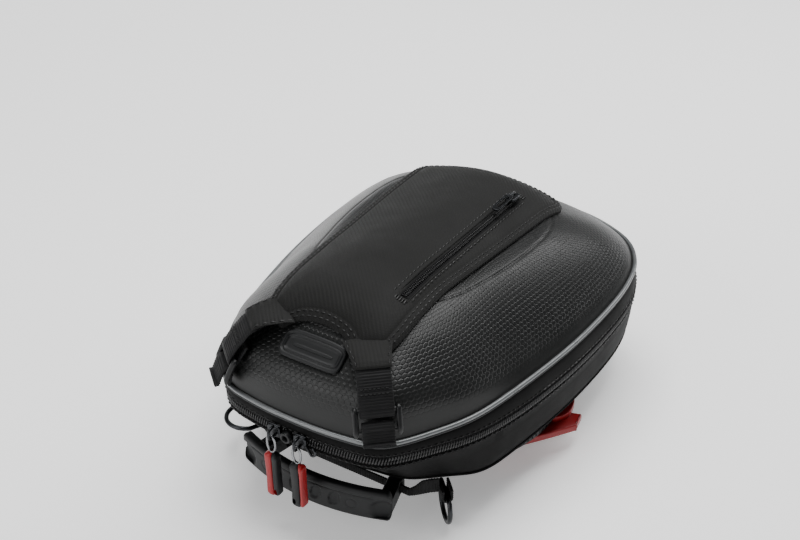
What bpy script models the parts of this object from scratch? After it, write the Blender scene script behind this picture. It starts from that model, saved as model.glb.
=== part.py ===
"""Quick-release tank bag for a motorcycle.

A moulded lid zips onto a tapering fabric tray. A cover panel is strapped over the
lid, and a lock base under the tray clips to a ring on the fuel tank.
+X is the rider's right, +Y points to the rider, +Z is up. The origin is the middle
of the lock base's underside. Sizes are in millimetres and become metres in to_object.
"""
import math

import bmesh
import bpy
from mathutils import Vector

MM = 0.001

# ---- driving sizes, mm ----------------------------------------------------------
SEAM_Z = 88.0            # height of the reflective piping above the lock base's face
AROUND = 56              # stations round the bag's plan outline
CENTRE_Y = 5.0           # middle that the plan outline shrinks towards
SHELL_WALL = 4.0         # moulded foam and film of the lid
FABRIC_WALL = 3.0        # foam-backed fabric of the tray
GAP = 0.35               # clearance between neighbouring pieces
PIPING_R = 2.3
COIL_HEIGHT = 2.9        # one half of the zip chain
COIL_DEPTH = 2.6
BAND_WALL = 2.4
PANEL_THICK = 2.4
PANEL_LIFT = 2.5         # underside of the cover panel above the lid
WEBBING = 21.0           # width of the two cover straps
WEBBING_THICK = 1.6
TRAY_FLOOR_Z = 30.0      # underside of the tray
LOCK_FLANGE_R = 72.0
PLUG_OUTER_R = 58.0
PLUG_INNER_R = 46.0
HUB_R = 16.0
FLANGE_THICK = 5.0
RECESS_ROOF = 2.0        # the flange is this much thicker over the ring's recess
SCREW_CIRCLE_R = 34.0
SCREW_HOLE_R = 2.4
SCREW_R = 2.0
LEVER_TOP_Z = 20.5
LEVER_THICK = 5.5
LEVER_PIVOT = (66.0, -34.0)
LEVER_PIN_R = 3.0
TONGUE_Z = (5.0, 13.0)
HANDLE_Z = (18.5, 41.0)
HANDLE_THICK = 6.5
HANDLE_HALF = 57.0       # half its length
HANDLE_FRONT_Y = -144.5
HANDLE_BOW = 11.5        # how far its ends curve back
HANDLE_HINGE = (0.0, -108.0, 23.0)
RING_STOCK_R = 1.6
RING_BAR = 11.5          # half the ring's straight side
RING_BOW = 13.5          # half its width
RING_SHANK = 6.5         # from the bar to where the bow starts
TAB_WIDTH = 13.0
TAB_THICK = 1.8
TAB_RISE = 6.0
LUG_Z = (17.2, 28.6)
LID_HINGE = (0.0, 154.2, 69.5)
COVER_HINGE = (0.0, 106.5, 128.0)
BADGE_HALF = (22.5, 7.0)
BADGE_Y = -127.2
FOB_HALF = (2.0, 14.0)   # corner centres of a zip pull, half width and half length
FOB_CORNER_R = 3.0
FOB_HALF_THICK = 3.0
WIRE_R = 0.75
WIRE_LOOP = (3.0, 6.6)   # half width and half length of a pull's wire loop
SPRING_R = 3.2
SPRING_WIRE_R = 0.6
SPRING_X = (17.5, 34.5)

# Half of the plan outline at the piping, front centre to rear centre (x, y).
HALF_OUTLINE = [
    (0.0, -149.5), (18.0, -149.0), (34.0, -147.3), (49.0, -144.4), (60.5, -137.5),
    (74.0, -119.0), (89.5, -89.5), (99.5, -48.0), (107.3, 2.0), (110.0, 50.0),
    (108.3, 84.0), (101.5, 110.0), (86.0, 131.0), (59.0, 144.5), (30.0, 149.8), (0.0, 151.0)]

# Lid height above the piping against plan scale (1 at the piping, 0 at the middle).
SIDE_PROFILE = [(0.0, 51.0), (0.5, 50.0), (0.573, 48.5), (0.664, 42.0), (0.773, 31.0),
                (0.864, 20.0), (0.945, 9.0), (0.975, 4.6), (1.0, 0.0)]
FRONT_PROFILE = [(0.0, 51.0), (0.573, 50.5), (0.65, 49.0), (0.7, 47.0), (0.755, 44.0),
                 (0.844, 37.0), (0.909, 31.0), (0.945, 26.0), (0.97, 19.0), (1.0, 0.0)]
HUMP_HEIGHT = 7.5        # padded rise under the cover panel
HUMP_HALF_WIDTH = 52.0
REAR_FALL = 0.055        # slope of the lid's top towards the rider
LID_LOOPS = [1.0, 0.985, 0.965, 0.94, 0.9, 0.85, 0.79, 0.73, 0.66, 0.58, 0.48, 0.33, 0.16]

# Tray sections below the zip: z, scale in x, and how far the front and rear are set back.
TRAY_LOOPS = [(58.0, 1.02, 14.0, 0.0), (48.0, 1.012, 23.0, 0.0), (40.0, 1.0, 30.0, 2.0),
              (34.0, 0.97, 35.0, 6.0), (31.0, 0.925, 39.0, 12.0), (TRAY_FLOOR_Z, 0.865, 45.0, 20.0)]
SET_BACK_FROM = 62.0     # y beyond which the tray's ends are set back

BLACK_SHELL = ("eva_shell", (0.020, 0.021, 0.021), 0.42, 0.0)
BLACK_FABRIC = ("woven_fabric", (0.016, 0.017, 0.017), 0.75, 0.0)
BLACK_WEBBING = ("webbing", (0.012, 0.012, 0.013), 0.8, 0.0)
BLACK_PLASTIC = ("moulded_plastic", (0.015, 0.015, 0.016), 0.4, 0.0)
BLACK_RUBBER = ("rubber", (0.018, 0.018, 0.018), 0.6, 0.0)
BLACK_COIL = ("nylon_coil", (0.014, 0.014, 0.015), 0.5, 0.0)
SILVER_TRIM = ("reflective_trim", (0.45, 0.46, 0.47), 0.35, 0.3)
GUNMETAL = ("gunmetal", (0.14, 0.14, 0.15), 0.32, 1.0)
BRIGHT_STEEL = ("bright_steel", (0.62, 0.62, 0.62), 0.22, 1.0)
RED_PLASTIC = ("red_plastic", (0.42, 0.012, 0.016), 0.35, 0.0)
CLEAR_FILM = ("clear_film", (0.30, 0.32, 0.33), 0.1, 0.0)


# ---- small tools ----------------------------------------------------------------
def clear_scene():
    for old in list(bpy.data.objects):
        bpy.data.objects.remove(old, do_unlink=True)


def material(spec):
    name, colour, roughness, metallic = spec
    mat = bpy.data.materials.get(name) or bpy.data.materials.new(name)
    mat.use_nodes = True
    shader = mat.node_tree.nodes["Principled BSDF"]
    shader.inputs["Base Color"].default_value = (*colour, 1.0)
    shader.inputs["Roughness"].default_value = roughness
    shader.inputs["Metallic"].default_value = metallic
    return mat


def add_empty(name, pivot, parent=None):
    """Empty at a joint's axis; pivot is in world millimetres."""
    empty = bpy.data.objects.new(name, None)
    bpy.context.collection.objects.link(empty)
    base = Vector(parent["pivot"]) if parent else Vector((0.0, 0.0, 0.0))
    empty["pivot"] = tuple(pivot)
    empty.parent = parent
    empty.location = (Vector(pivot) - base) * MM
    return empty


def to_object(name, bm, spec, body, smooth_angle=35.0):
    """Turns a bmesh in world millimetres into a named object under its body's empty."""
    pivot = Vector(body["pivot"])
    bmesh.ops.recalc_face_normals(bm, faces=bm.faces)
    for vert in bm.verts:
        vert.co = (vert.co - pivot) * MM
    mesh = bpy.data.meshes.new(name)
    bm.to_mesh(mesh)
    bm.free()
    mesh.shade_smooth()
    mesh.set_sharp_from_angle(angle=math.radians(smooth_angle))
    mesh.materials.append(material(spec))
    obj = bpy.data.objects.new(name, mesh)
    bpy.context.collection.objects.link(obj)
    obj.parent = body
    return obj


def loft(bm, loops, closed=False):
    """Skins closed loops of points; both ends are capped unless the loft itself closes."""
    rings = [[bm.verts.new(point) for point in loop] for loop in loops]
    pairs = list(zip(rings, rings[1:]))
    if closed:
        pairs.append((rings[-1], rings[0]))
    for low, high in pairs:
        count = len(low)
        for i in range(count):
            j = (i + 1) % count
            bm.faces.new((low[i], low[j], high[j], high[i]))
    if not closed:
        bm.faces.new(reversed(rings[0]))
        bm.faces.new(rings[-1])
    return rings


def box(bm, low, high):
    corners = [(low[0], low[1]), (high[0], low[1]), (high[0], high[1]), (low[0], high[1])]
    loft(bm, [[(x, y, z) for x, y in corners] for z in (low[2], high[2])])


def prism(bm, outline, z_low, z_high):
    loft(bm, [[(x, y, z) for x, y in outline] for z in (z_low, z_high)])


def turned(bm, profile, sides, centre=(0.0, 0.0), closed=False):
    """Lathe of an (r, z) profile: capped at both ends, or closed on itself."""
    angles = [2.0 * math.pi * k / sides for k in range(sides)]
    loops = [[(centre[0] + r * math.cos(a), centre[1] + r * math.sin(a), z) for a in angles]
             for r, z in profile]
    loft(bm, loops, closed)


def sweep(bm, path, radius, sides=8, closed=False):
    """Round rod along a path of world points."""
    points = [Vector(p) for p in path]
    count = len(points)
    tangents = []
    for i, point in enumerate(points):
        before = points[(i - 1) % count] if closed or i > 0 else point
        after = points[(i + 1) % count] if closed or i < count - 1 else point
        tangents.append((after - before).normalized())
    normal = tangents[0].orthogonal().normalized()
    loops = []
    for point, tangent in zip(points, tangents):
        normal = (normal - tangent * normal.dot(tangent)).normalized()
        side = tangent.cross(normal)
        loops.append([point + radius * (math.cos(a) * normal + math.sin(a) * side)
                      for a in (2.0 * math.pi * k / sides for k in range(sides))])
    loft(bm, loops, closed)


def hermite(points, x):
    """Smooth curve through (x, y) pairs, clamped at both ends."""
    if x <= points[0][0]:
        return points[0][1]
    if x >= points[-1][0]:
        return points[-1][1]
    last = len(points) - 2
    i = next(k for k in range(last + 1) if x <= points[k + 1][0])

    def slope(k):
        low = points[max(k - 1, 0)]
        high = points[min(k + 1, last + 1)]
        return (high[1] - low[1]) / (high[0] - low[0])

    (x0, y0), (x1, y1) = points[i], points[i + 1]
    width = x1 - x0
    t = (x - x0) / width
    return ((2 * t ** 3 - 3 * t ** 2 + 1) * y0 + (t ** 3 - 2 * t ** 2 + t) * width * slope(i)
            + (3 * t ** 2 - 2 * t ** 3) * y1 + (t ** 3 - t ** 2) * width * slope(i + 1))


def smoothstep(low, high, x):
    t = min(max((x - low) / (high - low), 0.0), 1.0)
    return t * t * (3.0 - 2.0 * t)


def cutter(name, bm, body):
    obj = to_object(name, bm, BLACK_PLASTIC, body)
    obj.hide_render = True
    obj.display_type = "WIRE"
    return obj


def cut(target, tool, operation="DIFFERENCE"):
    modifier = target.modifiers.new(tool.name, "BOOLEAN")
    modifier.operation = operation
    modifier.object = tool
    modifier.solver = "EXACT"


# ---- the bag's form -------------------------------------------------------------
def outline_points(count):
    """The closed plan outline, spaced evenly, anticlockwise from the front centre."""
    whole = HALF_OUTLINE + [(-x, y) for x, y in HALF_OUTLINE[-2:0:-1]]
    size = len(whole)
    dense = []
    for i in range(size):
        p0, p1, p2, p3 = (Vector(whole[(i + k) % size]) for k in (-1, 0, 1, 2))
        for k in range(12):
            t = k / 12.0
            dense.append(0.5 * (2.0 * p1 + t * (p2 - p0) + t * t * (2 * p0 - 5 * p1 + 4 * p2 - p3)
                                + t ** 3 * (3 * p1 - p0 - 3 * p2 + p3)))
    lengths = [0.0]
    for a, b in zip(dense, dense[1:] + dense[:1]):
        lengths.append(lengths[-1] + (b - a).length)
    points = []
    j = 0
    for i in range(count):
        target = lengths[-1] * i / count
        while lengths[j + 1] < target:
            j += 1
        share = (target - lengths[j]) / (lengths[j + 1] - lengths[j])
        points.append(dense[j].lerp(dense[(j + 1) % len(dense)], share))
    return points


OUTLINE = outline_points(AROUND)
HALF_DENSE = [(p.y, p.x) for p in outline_points(360)[:181]]
FRONT_SPAN = CENTRE_Y - HALF_OUTLINE[0][1]


def half_width(y):
    """Half the bag's width at y, at the piping."""
    if y <= HALF_DENSE[0][0] or y >= HALF_DENSE[-1][0]:
        return -1.0
    k = next(i for i in range(1, len(HALF_DENSE)) if HALF_DENSE[i][0] >= y)
    (y0, x0), (y1, x1) = HALF_DENSE[k - 1], HALF_DENSE[k]
    return x0 + (x1 - x0) * (y - y0) / (y1 - y0)


def plan_scale(x, y):
    """Scale at which the shrunken outline passes through (x, y)."""
    low, high = 0.02, 1.3
    for _ in range(22):
        middle = 0.5 * (low + high)
        if abs(x) / middle <= half_width(CENTRE_Y + (y - CENTRE_Y) / middle):
            high = middle
        else:
            low = middle
    return high


def lid_height(x, y):
    """Height of the lid's outer skin above the piping."""
    scale = min(plan_scale(x, y), 1.0)
    forward = (CENTRE_Y - y) / (FRONT_SPAN * scale)
    share = smoothstep(0.35, 0.95, forward)
    base = (1.0 - share) * hermite(SIDE_PROFILE, scale) + share * hermite(FRONT_PROFILE, scale)
    base -= REAR_FALL * max(y + 50.0, 0.0) * (1.0 - smoothstep(0.55, 1.0, scale))
    across = max(0.0, 1.0 - (x / HUMP_HALF_WIDTH) ** 2)
    along = smoothstep(-132.0, -98.0, y) * (1.0 - smoothstep(70.0, 125.0, y))
    return base + HUMP_HEIGHT * across * across * along


def lid_point(x, y, lift=0.0):
    """Point on the lid's skin, moved along its normal by lift."""
    step = 0.6
    z = lid_height(x, y)
    slope_x = (lid_height(x + step, y) - lid_height(x - step, y)) / (2 * step)
    slope_y = (lid_height(x, y + step) - lid_height(x, y - step)) / (2 * step)
    normal = Vector((-slope_x, -slope_y, 1.0)).normalized()
    return Vector((x, y, SEAM_Z + z)) + normal * lift


def shrunk(scale):
    """The plan outline shrunk towards the bag's middle."""
    return [(point.x * scale, CENTRE_Y + (point.y - CENTRE_Y) * scale) for point in OUTLINE]


def tray_section(z, scale_x, front, rear, inset=0.0):
    """The outline narrowed to the sides and set back at the front and rear."""
    loop = []
    for i, point in enumerate(OUTLINE):
        spot = point - outward(i) * inset
        y = spot.y + front * smoothstep(SET_BACK_FROM, 150.0, -point.y)
        y -= rear * smoothstep(SET_BACK_FROM, 150.0, point.y)
        loop.append(Vector((spot.x * scale_x, y, z)))
    return loop


def outward(i):
    """Unit normal of the plan outline at station i."""
    tangent = OUTLINE[(i + 1) % AROUND] - OUTLINE[i - 1]
    return Vector((tangent.y, -tangent.x)).normalized()


def rim(offset, z_of):
    """The outline pushed out by offset (a number or a function of y), at height z_of(y)."""
    loop = []
    for i, point in enumerate(OUTLINE):
        push = offset(point.y) if callable(offset) else offset
        moved = point + outward(i) * push
        loop.append(Vector((moved.x, moved.y, z_of(point.y))))
    return loop


def zip_z(y):
    """Middle of the zip chain: it drops from the front to the sides."""
    return SEAM_Z - 13.0 - 5.5 * smoothstep(-150.0, -30.0, y)


def zip_bulge(y):
    """How far the wall at the zip stands outside the piping outline."""
    return 2.4 * smoothstep(-140.0, -40.0, y)


def rim_ring(bm, section):
    """Closed ring round the bag; section lists (offset, z) functions or numbers."""
    loft(bm, [rim(offset, z_of) for offset, z_of in section], closed=True)


# ---- lid ------------------------------------------------------------------------
def make_upper_shell(body):
    bm = bmesh.new()
    outer = []
    for scale in LID_LOOPS:
        outer.append([lid_point(x, y) for x, y in shrunk(scale)])
    foot_z = SEAM_Z + PIPING_R + GAP
    outer[0] = rim(0.0, lambda y: foot_z)
    inner = []
    for scale in (0.93, 0.85, 0.76, 0.66, 0.5, 0.28):
        inner.append([lid_point(x, y, -SHELL_WALL) for x, y in shrunk(scale)])
    inner.insert(0, rim(-SHELL_WALL, lambda y: foot_z))
    loft(bm, list(reversed(inner)) + outer)
    return to_object("upper_shell", bm, BLACK_SHELL, body)


def make_rim_pieces(lid, tray):
    bm = bmesh.new()
    sides = 8
    section = []
    for k in range(sides):
        angle = 2.0 * math.pi * k / sides
        height = SEAM_Z + PIPING_R * math.sin(angle)
        section.append((0.6 + PIPING_R * math.cos(angle), lambda y, h=height: h))
    rim_ring(bm, section)
    to_object("piping", bm, SILVER_TRIM, lid)

    bm = bmesh.new()
    band_top = SEAM_Z - PIPING_R - GAP
    rim_ring(bm, [(0.4, lambda y: band_top),
                  (lambda y: 0.8 + 0.7 * zip_bulge(y), lambda y: 0.5 * (band_top + zip_z(y))),
                  (zip_bulge, lambda y: zip_z(y) + COIL_HEIGHT + 2 * GAP),
                  (lambda y: zip_bulge(y) - BAND_WALL, lambda y: zip_z(y) + COIL_HEIGHT + 2 * GAP),
                  (0.4 - BAND_WALL, lambda y: band_top)])
    to_object("upper_band", bm, BLACK_FABRIC, lid)

    for name, body, near, far in (("zip_coil_upper", lid, GAP / 2, COIL_HEIGHT + GAP),
                                  ("zip_coil_lower", tray, -GAP / 2, -COIL_HEIGHT - GAP)):
        bm = bmesh.new()
        rim_ring(bm, [(lambda y: zip_bulge(y) + 0.3, lambda y, n=near: zip_z(y) + n),
                      (lambda y: zip_bulge(y) + 0.3 - COIL_DEPTH, lambda y, n=near: zip_z(y) + n),
                      (lambda y: zip_bulge(y) + 0.3 - COIL_DEPTH, lambda y, f=far: zip_z(y) + f),
                      (lambda y: zip_bulge(y) + 0.3, lambda y, f=far: zip_z(y) + f)])
        to_object(name, bm, BLACK_COIL, body)


def panel_outline():
    """Plan outline of the cover panel: straight sides, arched front, rounded rear."""
    right = [(16.0, -116.0), (22.0, -119.0), (27.0, -121.5), (35.5, -117.0), (43.0, -112.0),
             (45.5, -100.0), (45.8, -76.0), (46.5, -53.0), (49.0, -16.0), (52.0, 25.0),
             (54.5, 74.0), (54.0, 87.0), (46.0, 97.0), (30.0, 102.0), (12.0, 103.0)]
    front = [(0.0, -114.0), (9.0, -114.6)]
    half = front + right
    return half + [(0.0, 103.0)] + [(-x, y) for x, y in half[:0:-1]]


def surface_slab(bm, outline, rows, low, high):
    """A slab that follows the lid: outline shrunk in rows, lifted from low to high."""
    centre = Vector((0.0, sum(p[1] for p in outline) / len(outline)))
    loops = []
    for lift, shares in ((low, [k / rows for k in range(1, rows + 1)]),
                         (high, [k / rows for k in range(rows, 0, -1)])):
        for share in shares:
            loop = []
            for x, y in outline:
                spot = centre.lerp(Vector((x, y)), share)
                loop.append(lid_point(spot.x, spot.y, lift))
            loops.append(loop)
    loft(bm, loops)


def make_lid_details(lid):
    bm = bmesh.new()
    frame_outer = [(-34.0, -72.0), (34.0, -72.0), (34.0, 44.0), (-34.0, 44.0)]
    frame_inner = [(-29.0, -67.0), (29.0, -67.0), (29.0, 39.0), (-29.0, 39.0)]

    def ring_points(corners, per_side=5):
        points = []
        for (x0, y0), (x1, y1) in zip(corners, corners[1:] + corners[:1]):
            for k in range(per_side):
                points.append((x0 + (x1 - x0) * k / per_side, y0 + (y1 - y0) * k / per_side))
        return points

    outer, inner = ring_points(frame_outer), ring_points(frame_inner)
    loft(bm, [[lid_point(x, y, lift) for x, y in points]
              for points, lift in ((outer, 0.5), (outer, 1.6), (inner, 1.6), (inner, 0.5))], closed=True)
    to_object("window_frame", bm, BLACK_FABRIC, lid)

    bm = bmesh.new()
    pane = ring_points([(-28.6, -66.6), (28.6, -66.6), (28.6, 38.6), (-28.6, 38.6)])
    surface_slab(bm, pane, 5, 0.7, 1.4)
    to_object("window_pane", bm, CLEAR_FILM, lid)

    bm = bmesh.new()
    badge = []
    power = 0.3
    for k in range(24):
        angle = 2.0 * math.pi * k / 24
        x = BADGE_HALF[0] * math.copysign(abs(math.cos(angle)) ** power, math.cos(angle))
        y = BADGE_Y + BADGE_HALF[1] * math.copysign(abs(math.sin(angle)) ** power, math.sin(angle))
        badge.append((x, y))
    surface_slab(bm, badge, 2, GAP, 2.6)
    to_object("badge_patch", bm, BLACK_RUBBER, lid)


STRAP_TOP = (34.5, -119.0)
STRAP_FOOT = (53.5, -141.0)
STRAP_LIFT = 8.2
BUCKLE_LIFT = (4.6, 7.8)


def strap_frame(side):
    """Start, direction and width vector of a cover strap in plan."""
    start = Vector((side * STRAP_TOP[0], STRAP_TOP[1]))
    run = Vector((side * (STRAP_FOOT[0] - STRAP_TOP[0]), STRAP_FOOT[1] - STRAP_TOP[1]))
    across = Vector((-run.y, run.x)).normalized()
    return start, run, across


def strap_line(side, share, lift):
    """Point on the strap's middle line: it hangs from the panel's corner to the piping."""
    start, run, _ = strap_frame(side)
    spot = start + run * share
    heights = [(0.0, 41.5), (0.25, 38.0), (0.5, 31.5), (0.72, 22.5), (0.88, 13.5), (1.0, 4.5)]
    tilt = [(0.0, 0.75), (0.5, 0.9), (1.0, 0.97)]
    flat = hermite(tilt, share)
    normal = Vector((run.normalized().x * flat, run.normalized().y * flat, math.sqrt(1 - flat * flat)))
    return Vector((spot.x, spot.y, SEAM_Z + hermite(heights, share))) + normal * lift


def ribbon(bm, side, shares, width, low, high):
    _, _, across = strap_frame(side)
    wide = Vector((across.x, across.y, 0.0)) * (width / 2)
    loops = []
    for share in shares:
        bottom = strap_line(side, share, low)
        top = strap_line(side, share, high)
        loops.append([bottom - wide, bottom + wide, top + wide, top - wide])
    loft(bm, loops)


def make_cover(cover):
    bm = bmesh.new()
    surface_slab(bm, panel_outline(), 7, PANEL_LIFT, PANEL_LIFT + PANEL_THICK)
    to_object("cover_panel", bm, BLACK_FABRIC, cover)
    for side, word in ((-1, "left"), (1, "right")):
        bm = bmesh.new()
        shares = [0.06, 0.18, 0.3, 0.42, 0.54, 0.66, 0.76, 0.84]
        ribbon(bm, side, shares, WEBBING, STRAP_LIFT, STRAP_LIFT + WEBBING_THICK)
        to_object("strap_" + word, bm, BLACK_WEBBING, cover)


def make_buckle(side, word, cover, lid):
    """Open loop buckle: its lower bar sits in the pocket of the stub webbing."""
    bm = bmesh.new()
    _, _, across = strap_frame(side)
    wide = Vector((across.x, across.y, 0.0))
    half_inner, bar = WEBBING / 2 + 0.8, 3.2
    shares = [0.72, 0.77, 0.89, 0.94]
    rows = []
    for share in shares:
        low, high = (strap_line(side, share, lift) for lift in BUCKLE_LIFT)
        rows.append((low, high))
    stops = (-half_inner - bar, -half_inner, half_inner, half_inner + bar)
    grid = [[[bm.verts.new(level + wide * stop) for stop in stops] for level in row] for row in rows]
    cells = [(i, j) for i in range(3) for j in range(3) if (i, j) != (1, 1)]

    def face(*verts):
        bm.faces.new(verts)

    for i, j in cells:
        for level in (0, 1):
            quad = (grid[i][level][j], grid[i][level][j + 1],
                    grid[i + 1][level][j + 1], grid[i + 1][level][j])
            face(*quad)
        for (di, dj), (a, b) in (((-1, 0), ((i, j), (i, j + 1))), ((1, 0), ((i + 1, j), (i + 1, j + 1))),
                                 ((0, -1), ((i, j), (i + 1, j))), ((0, 1), ((i, j + 1), (i + 1, j + 1)))):
            if (i + di, j + dj) in cells:
                continue
            face(grid[a[0]][0][a[1]], grid[b[0]][0][b[1]], grid[b[0]][1][b[1]], grid[a[0]][1][a[1]])
    to_object("buckle_" + word, bm, BLACK_PLASTIC, cover)

    bm = bmesh.new()
    back, front = BUCKLE_LIFT[0] - 0.9, BUCKLE_LIFT[1] + 0.9
    pocket = [(0.89, back - 1.2), (0.94, back - 1.2), (1.07, back - 1.2), (1.07, front + 1.2),
              (0.94, front + 1.2), (0.89, front + 1.2), (0.89, front), (0.94, front), (1.0, front),
              (1.0, back), (0.94, back), (0.89, back)]
    loft(bm, [[strap_line(side, share, lift) + wide * stop for share, lift in pocket]
              for stop in (-WEBBING / 2 + 1.0, WEBBING / 2 - 1.0)])
    to_object("strap_stub_" + word, bm, BLACK_WEBBING, lid)


# ---- pocket zip on the cover ----------------------------------------------------
POCKET_FRONT = (31.0, -78.0)
POCKET_REAR = (30.0, 66.0)
POCKET_SLIDER_SHARE = 0.94
POCKET_ZIP_THICK = 1.6


def pocket_point(share, lift, aside=0.0):
    x = POCKET_FRONT[0] + (POCKET_REAR[0] - POCKET_FRONT[0]) * share + aside
    y = POCKET_FRONT[1] + (POCKET_REAR[1] - POCKET_FRONT[1]) * share
    return lid_point(x, y, lift)


def make_pocket(cover, slider, pull):
    base = PANEL_LIFT + PANEL_THICK + GAP
    bm = bmesh.new()
    loops = []
    for k in range(11):
        share = k / 10.0
        loops.append([pocket_point(share, base, -3.0), pocket_point(share, base, 3.0),
                      pocket_point(share, base + POCKET_ZIP_THICK, 3.0),
                      pocket_point(share, base + POCKET_ZIP_THICK, -3.0)])
    loft(bm, loops)
    to_object("pocket_zip", bm, BLACK_COIL, cover)

    middle = pocket_point(POCKET_SLIDER_SHARE, base + POCKET_ZIP_THICK + 2 * GAP)
    bm = bmesh.new()
    box(bm, middle + Vector((-3.6, -5.5, 1.1)), middle + Vector((3.6, 5.5, 3.7)))
    to_object("pocket_slider", bm, GUNMETAL, slider)
    bm = bmesh.new()
    box(bm, middle + Vector((-3.2, -25.0, 4.2)), middle + Vector((3.2, -2.5, 6.0)))
    to_object("pocket_pull", bm, GUNMETAL, pull)


# ---- main zip sliders -----------------------------------------------------------
SLIDERS = (("left", -14.0), ("right", 5.0))
TRACK_CENTRE_Y = 121.0
BRIDGE_OUT = 5.8
BRIDGE_DROP = 1.0


def slider_seat(x):
    """Point on the outside of the zip chain at x."""
    radius = TRACK_CENTRE_Y - HALF_OUTLINE[0][1]
    y = TRACK_CENTRE_Y - math.sqrt(radius * radius - x * x)
    return Vector((x, y - 0.3 - GAP, zip_z(y)))


def make_slider(word, x, slider, pull):
    seat = slider_seat(x)
    bm = bmesh.new()
    prism(bm, [(seat.x - 4.2, seat.y - 2.6), (seat.x + 4.2, seat.y - 2.6),
               (seat.x + 4.6, seat.y - 0.4), (seat.x - 4.6, seat.y - 0.4)], seat.z - 4.4, seat.z + 4.4)
    plate = to_object("slider_" + word, bm, GUNMETAL, slider)
    bm = bmesh.new()
    reach = BRIDGE_OUT + 2.2
    arch = [seat + Vector((0.0, -y, z)) for y, z in
            ((1.4, 3.5), (reach - 1.2, 3.5), (reach, 2.2), (reach, -2.2), (reach - 1.2, -3.5), (1.4, -3.5))]
    sweep(bm, arch, 0.9, 8)
    cut(plate, cutter("bridge_" + word, bm, slider), "UNION")

    hinge = Vector(pull["pivot"])
    bm = bmesh.new()
    wire = []
    for k in range(20):
        angle = 2.0 * math.pi * k / 20
        wire.append(hinge + Vector((WIRE_LOOP[0] * math.sin(angle), 0.0,
                                    WIRE_LOOP[1] * (math.cos(angle) - 1.0))))
    sweep(bm, wire, WIRE_R, 6, closed=True)
    to_object("pull_wire_" + word, bm, BRIGHT_STEEL, pull)
    bm = bmesh.new()
    drop = 2 * WIRE_LOOP[1] + WIRE_R + GAP + 0.1
    centre = hinge - Vector((0.0, 0.0, drop + FOB_HALF[1] + FOB_CORNER_R))
    outline = []
    for turn_x, turn_z, first in ((1, 1, 0), (-1, 1, 90), (-1, -1, 180), (1, -1, 270)):
        for k in range(4):
            angle = math.radians(first + 30 * k)
            outline.append((centre.x + turn_x * FOB_HALF[0] + FOB_CORNER_R * math.cos(angle),
                            centre.z + turn_z * FOB_HALF[1] + FOB_CORNER_R * math.sin(angle)))
    loft(bm, [[(px, centre.y + dy, pz) for px, pz in outline] for dy in (-FOB_HALF_THICK, FOB_HALF_THICK)])
    spec = RED_PLASTIC if word == "left" else BLACK_RUBBER
    to_object("pull_fob_" + word, bm, spec, pull)


def make_lock_block(tray):
    """Small eye between the sliders that a padlock's shackle goes through."""
    seat = slider_seat(-4.5)
    bm = bmesh.new()
    sides = 20
    loops = []
    for radius, y in ((3.9, -0.4), (3.9, -4.4), (1.7, -4.4), (1.7, -0.4)):
        loops.append([(seat.x + radius * math.cos(2 * math.pi * k / sides), seat.y + y,
                       seat.z - 0.5 + radius * math.sin(2 * math.pi * k / sides)) for k in range(sides)])
    loft(bm, loops, closed=True)
    to_object("lock_eye", bm, BLACK_PLASTIC, tray)


# ---- tray -----------------------------------------------------------------------
def make_tray(tray):
    bm = bmesh.new()
    top = rim(zip_bulge, lambda y: zip_z(y) - COIL_HEIGHT - 2 * GAP)
    outer = [top] + [tray_section(*row) for row in TRAY_LOOPS]
    inner = [rim(lambda y: zip_bulge(y) - FABRIC_WALL, lambda y: zip_z(y) - COIL_HEIGHT - 2 * GAP)]
    for z, scale_x, front, rear in TRAY_LOOPS[:-1]:
        lift = max(z, TRAY_FLOOR_Z + FABRIC_WALL)
        inner.append(tray_section(lift, scale_x, front, rear, FABRIC_WALL))
    loft(bm, list(reversed(outer)) + inner)
    return to_object("lower_tray", bm, BLACK_FABRIC, tray)


def make_floor(tray):
    z = TRAY_FLOOR_Z + FABRIC_WALL + GAP
    bm = bmesh.new()
    loft(bm, [tray_section(level, 0.88, 45.0, 18.0, 3.0) for level in (z, z + 2.5)])
    board = to_object("base_board", bm, BLACK_PLASTIC, tray)
    bm = bmesh.new()
    top = z + 2.5 + GAP
    turned(bm, [(44.0, top), (44.0, top + 1.6)], 40)
    plate = to_object("clamp_plate", bm, GUNMETAL, tray)
    return board, plate


def make_hinge_strip(tray):
    """Fabric hinge at the rear, sewn outside the zip line."""
    bm = bmesh.new()
    middle = AROUND // 2
    loops = []
    for i in range(middle - 4, middle + 5):
        normal = outward(i)
        loop = []
        for push, z in ((3.2, 60.0), (4.6, 60.0), (4.6, 67.6), (3.2, 67.6)):
            spot = OUTLINE[i] + normal * push
            loop.append(Vector((spot.x, spot.y, z)))
        loops.append(loop)
    loft(bm, loops)
    to_object("rear_hinge_strip", bm, BLACK_FABRIC, tray)


# ---- lock base ------------------------------------------------------------------
def sector(r_in, r_out, first, last, steps):
    angles = [math.radians(first + (last - first) * k / steps) for k in range(steps + 1)]
    outer = [(r_out * math.cos(a), r_out * math.sin(a)) for a in angles]
    return outer + [(r_in * math.cos(a), r_in * math.sin(a)) for a in reversed(angles)]


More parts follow.
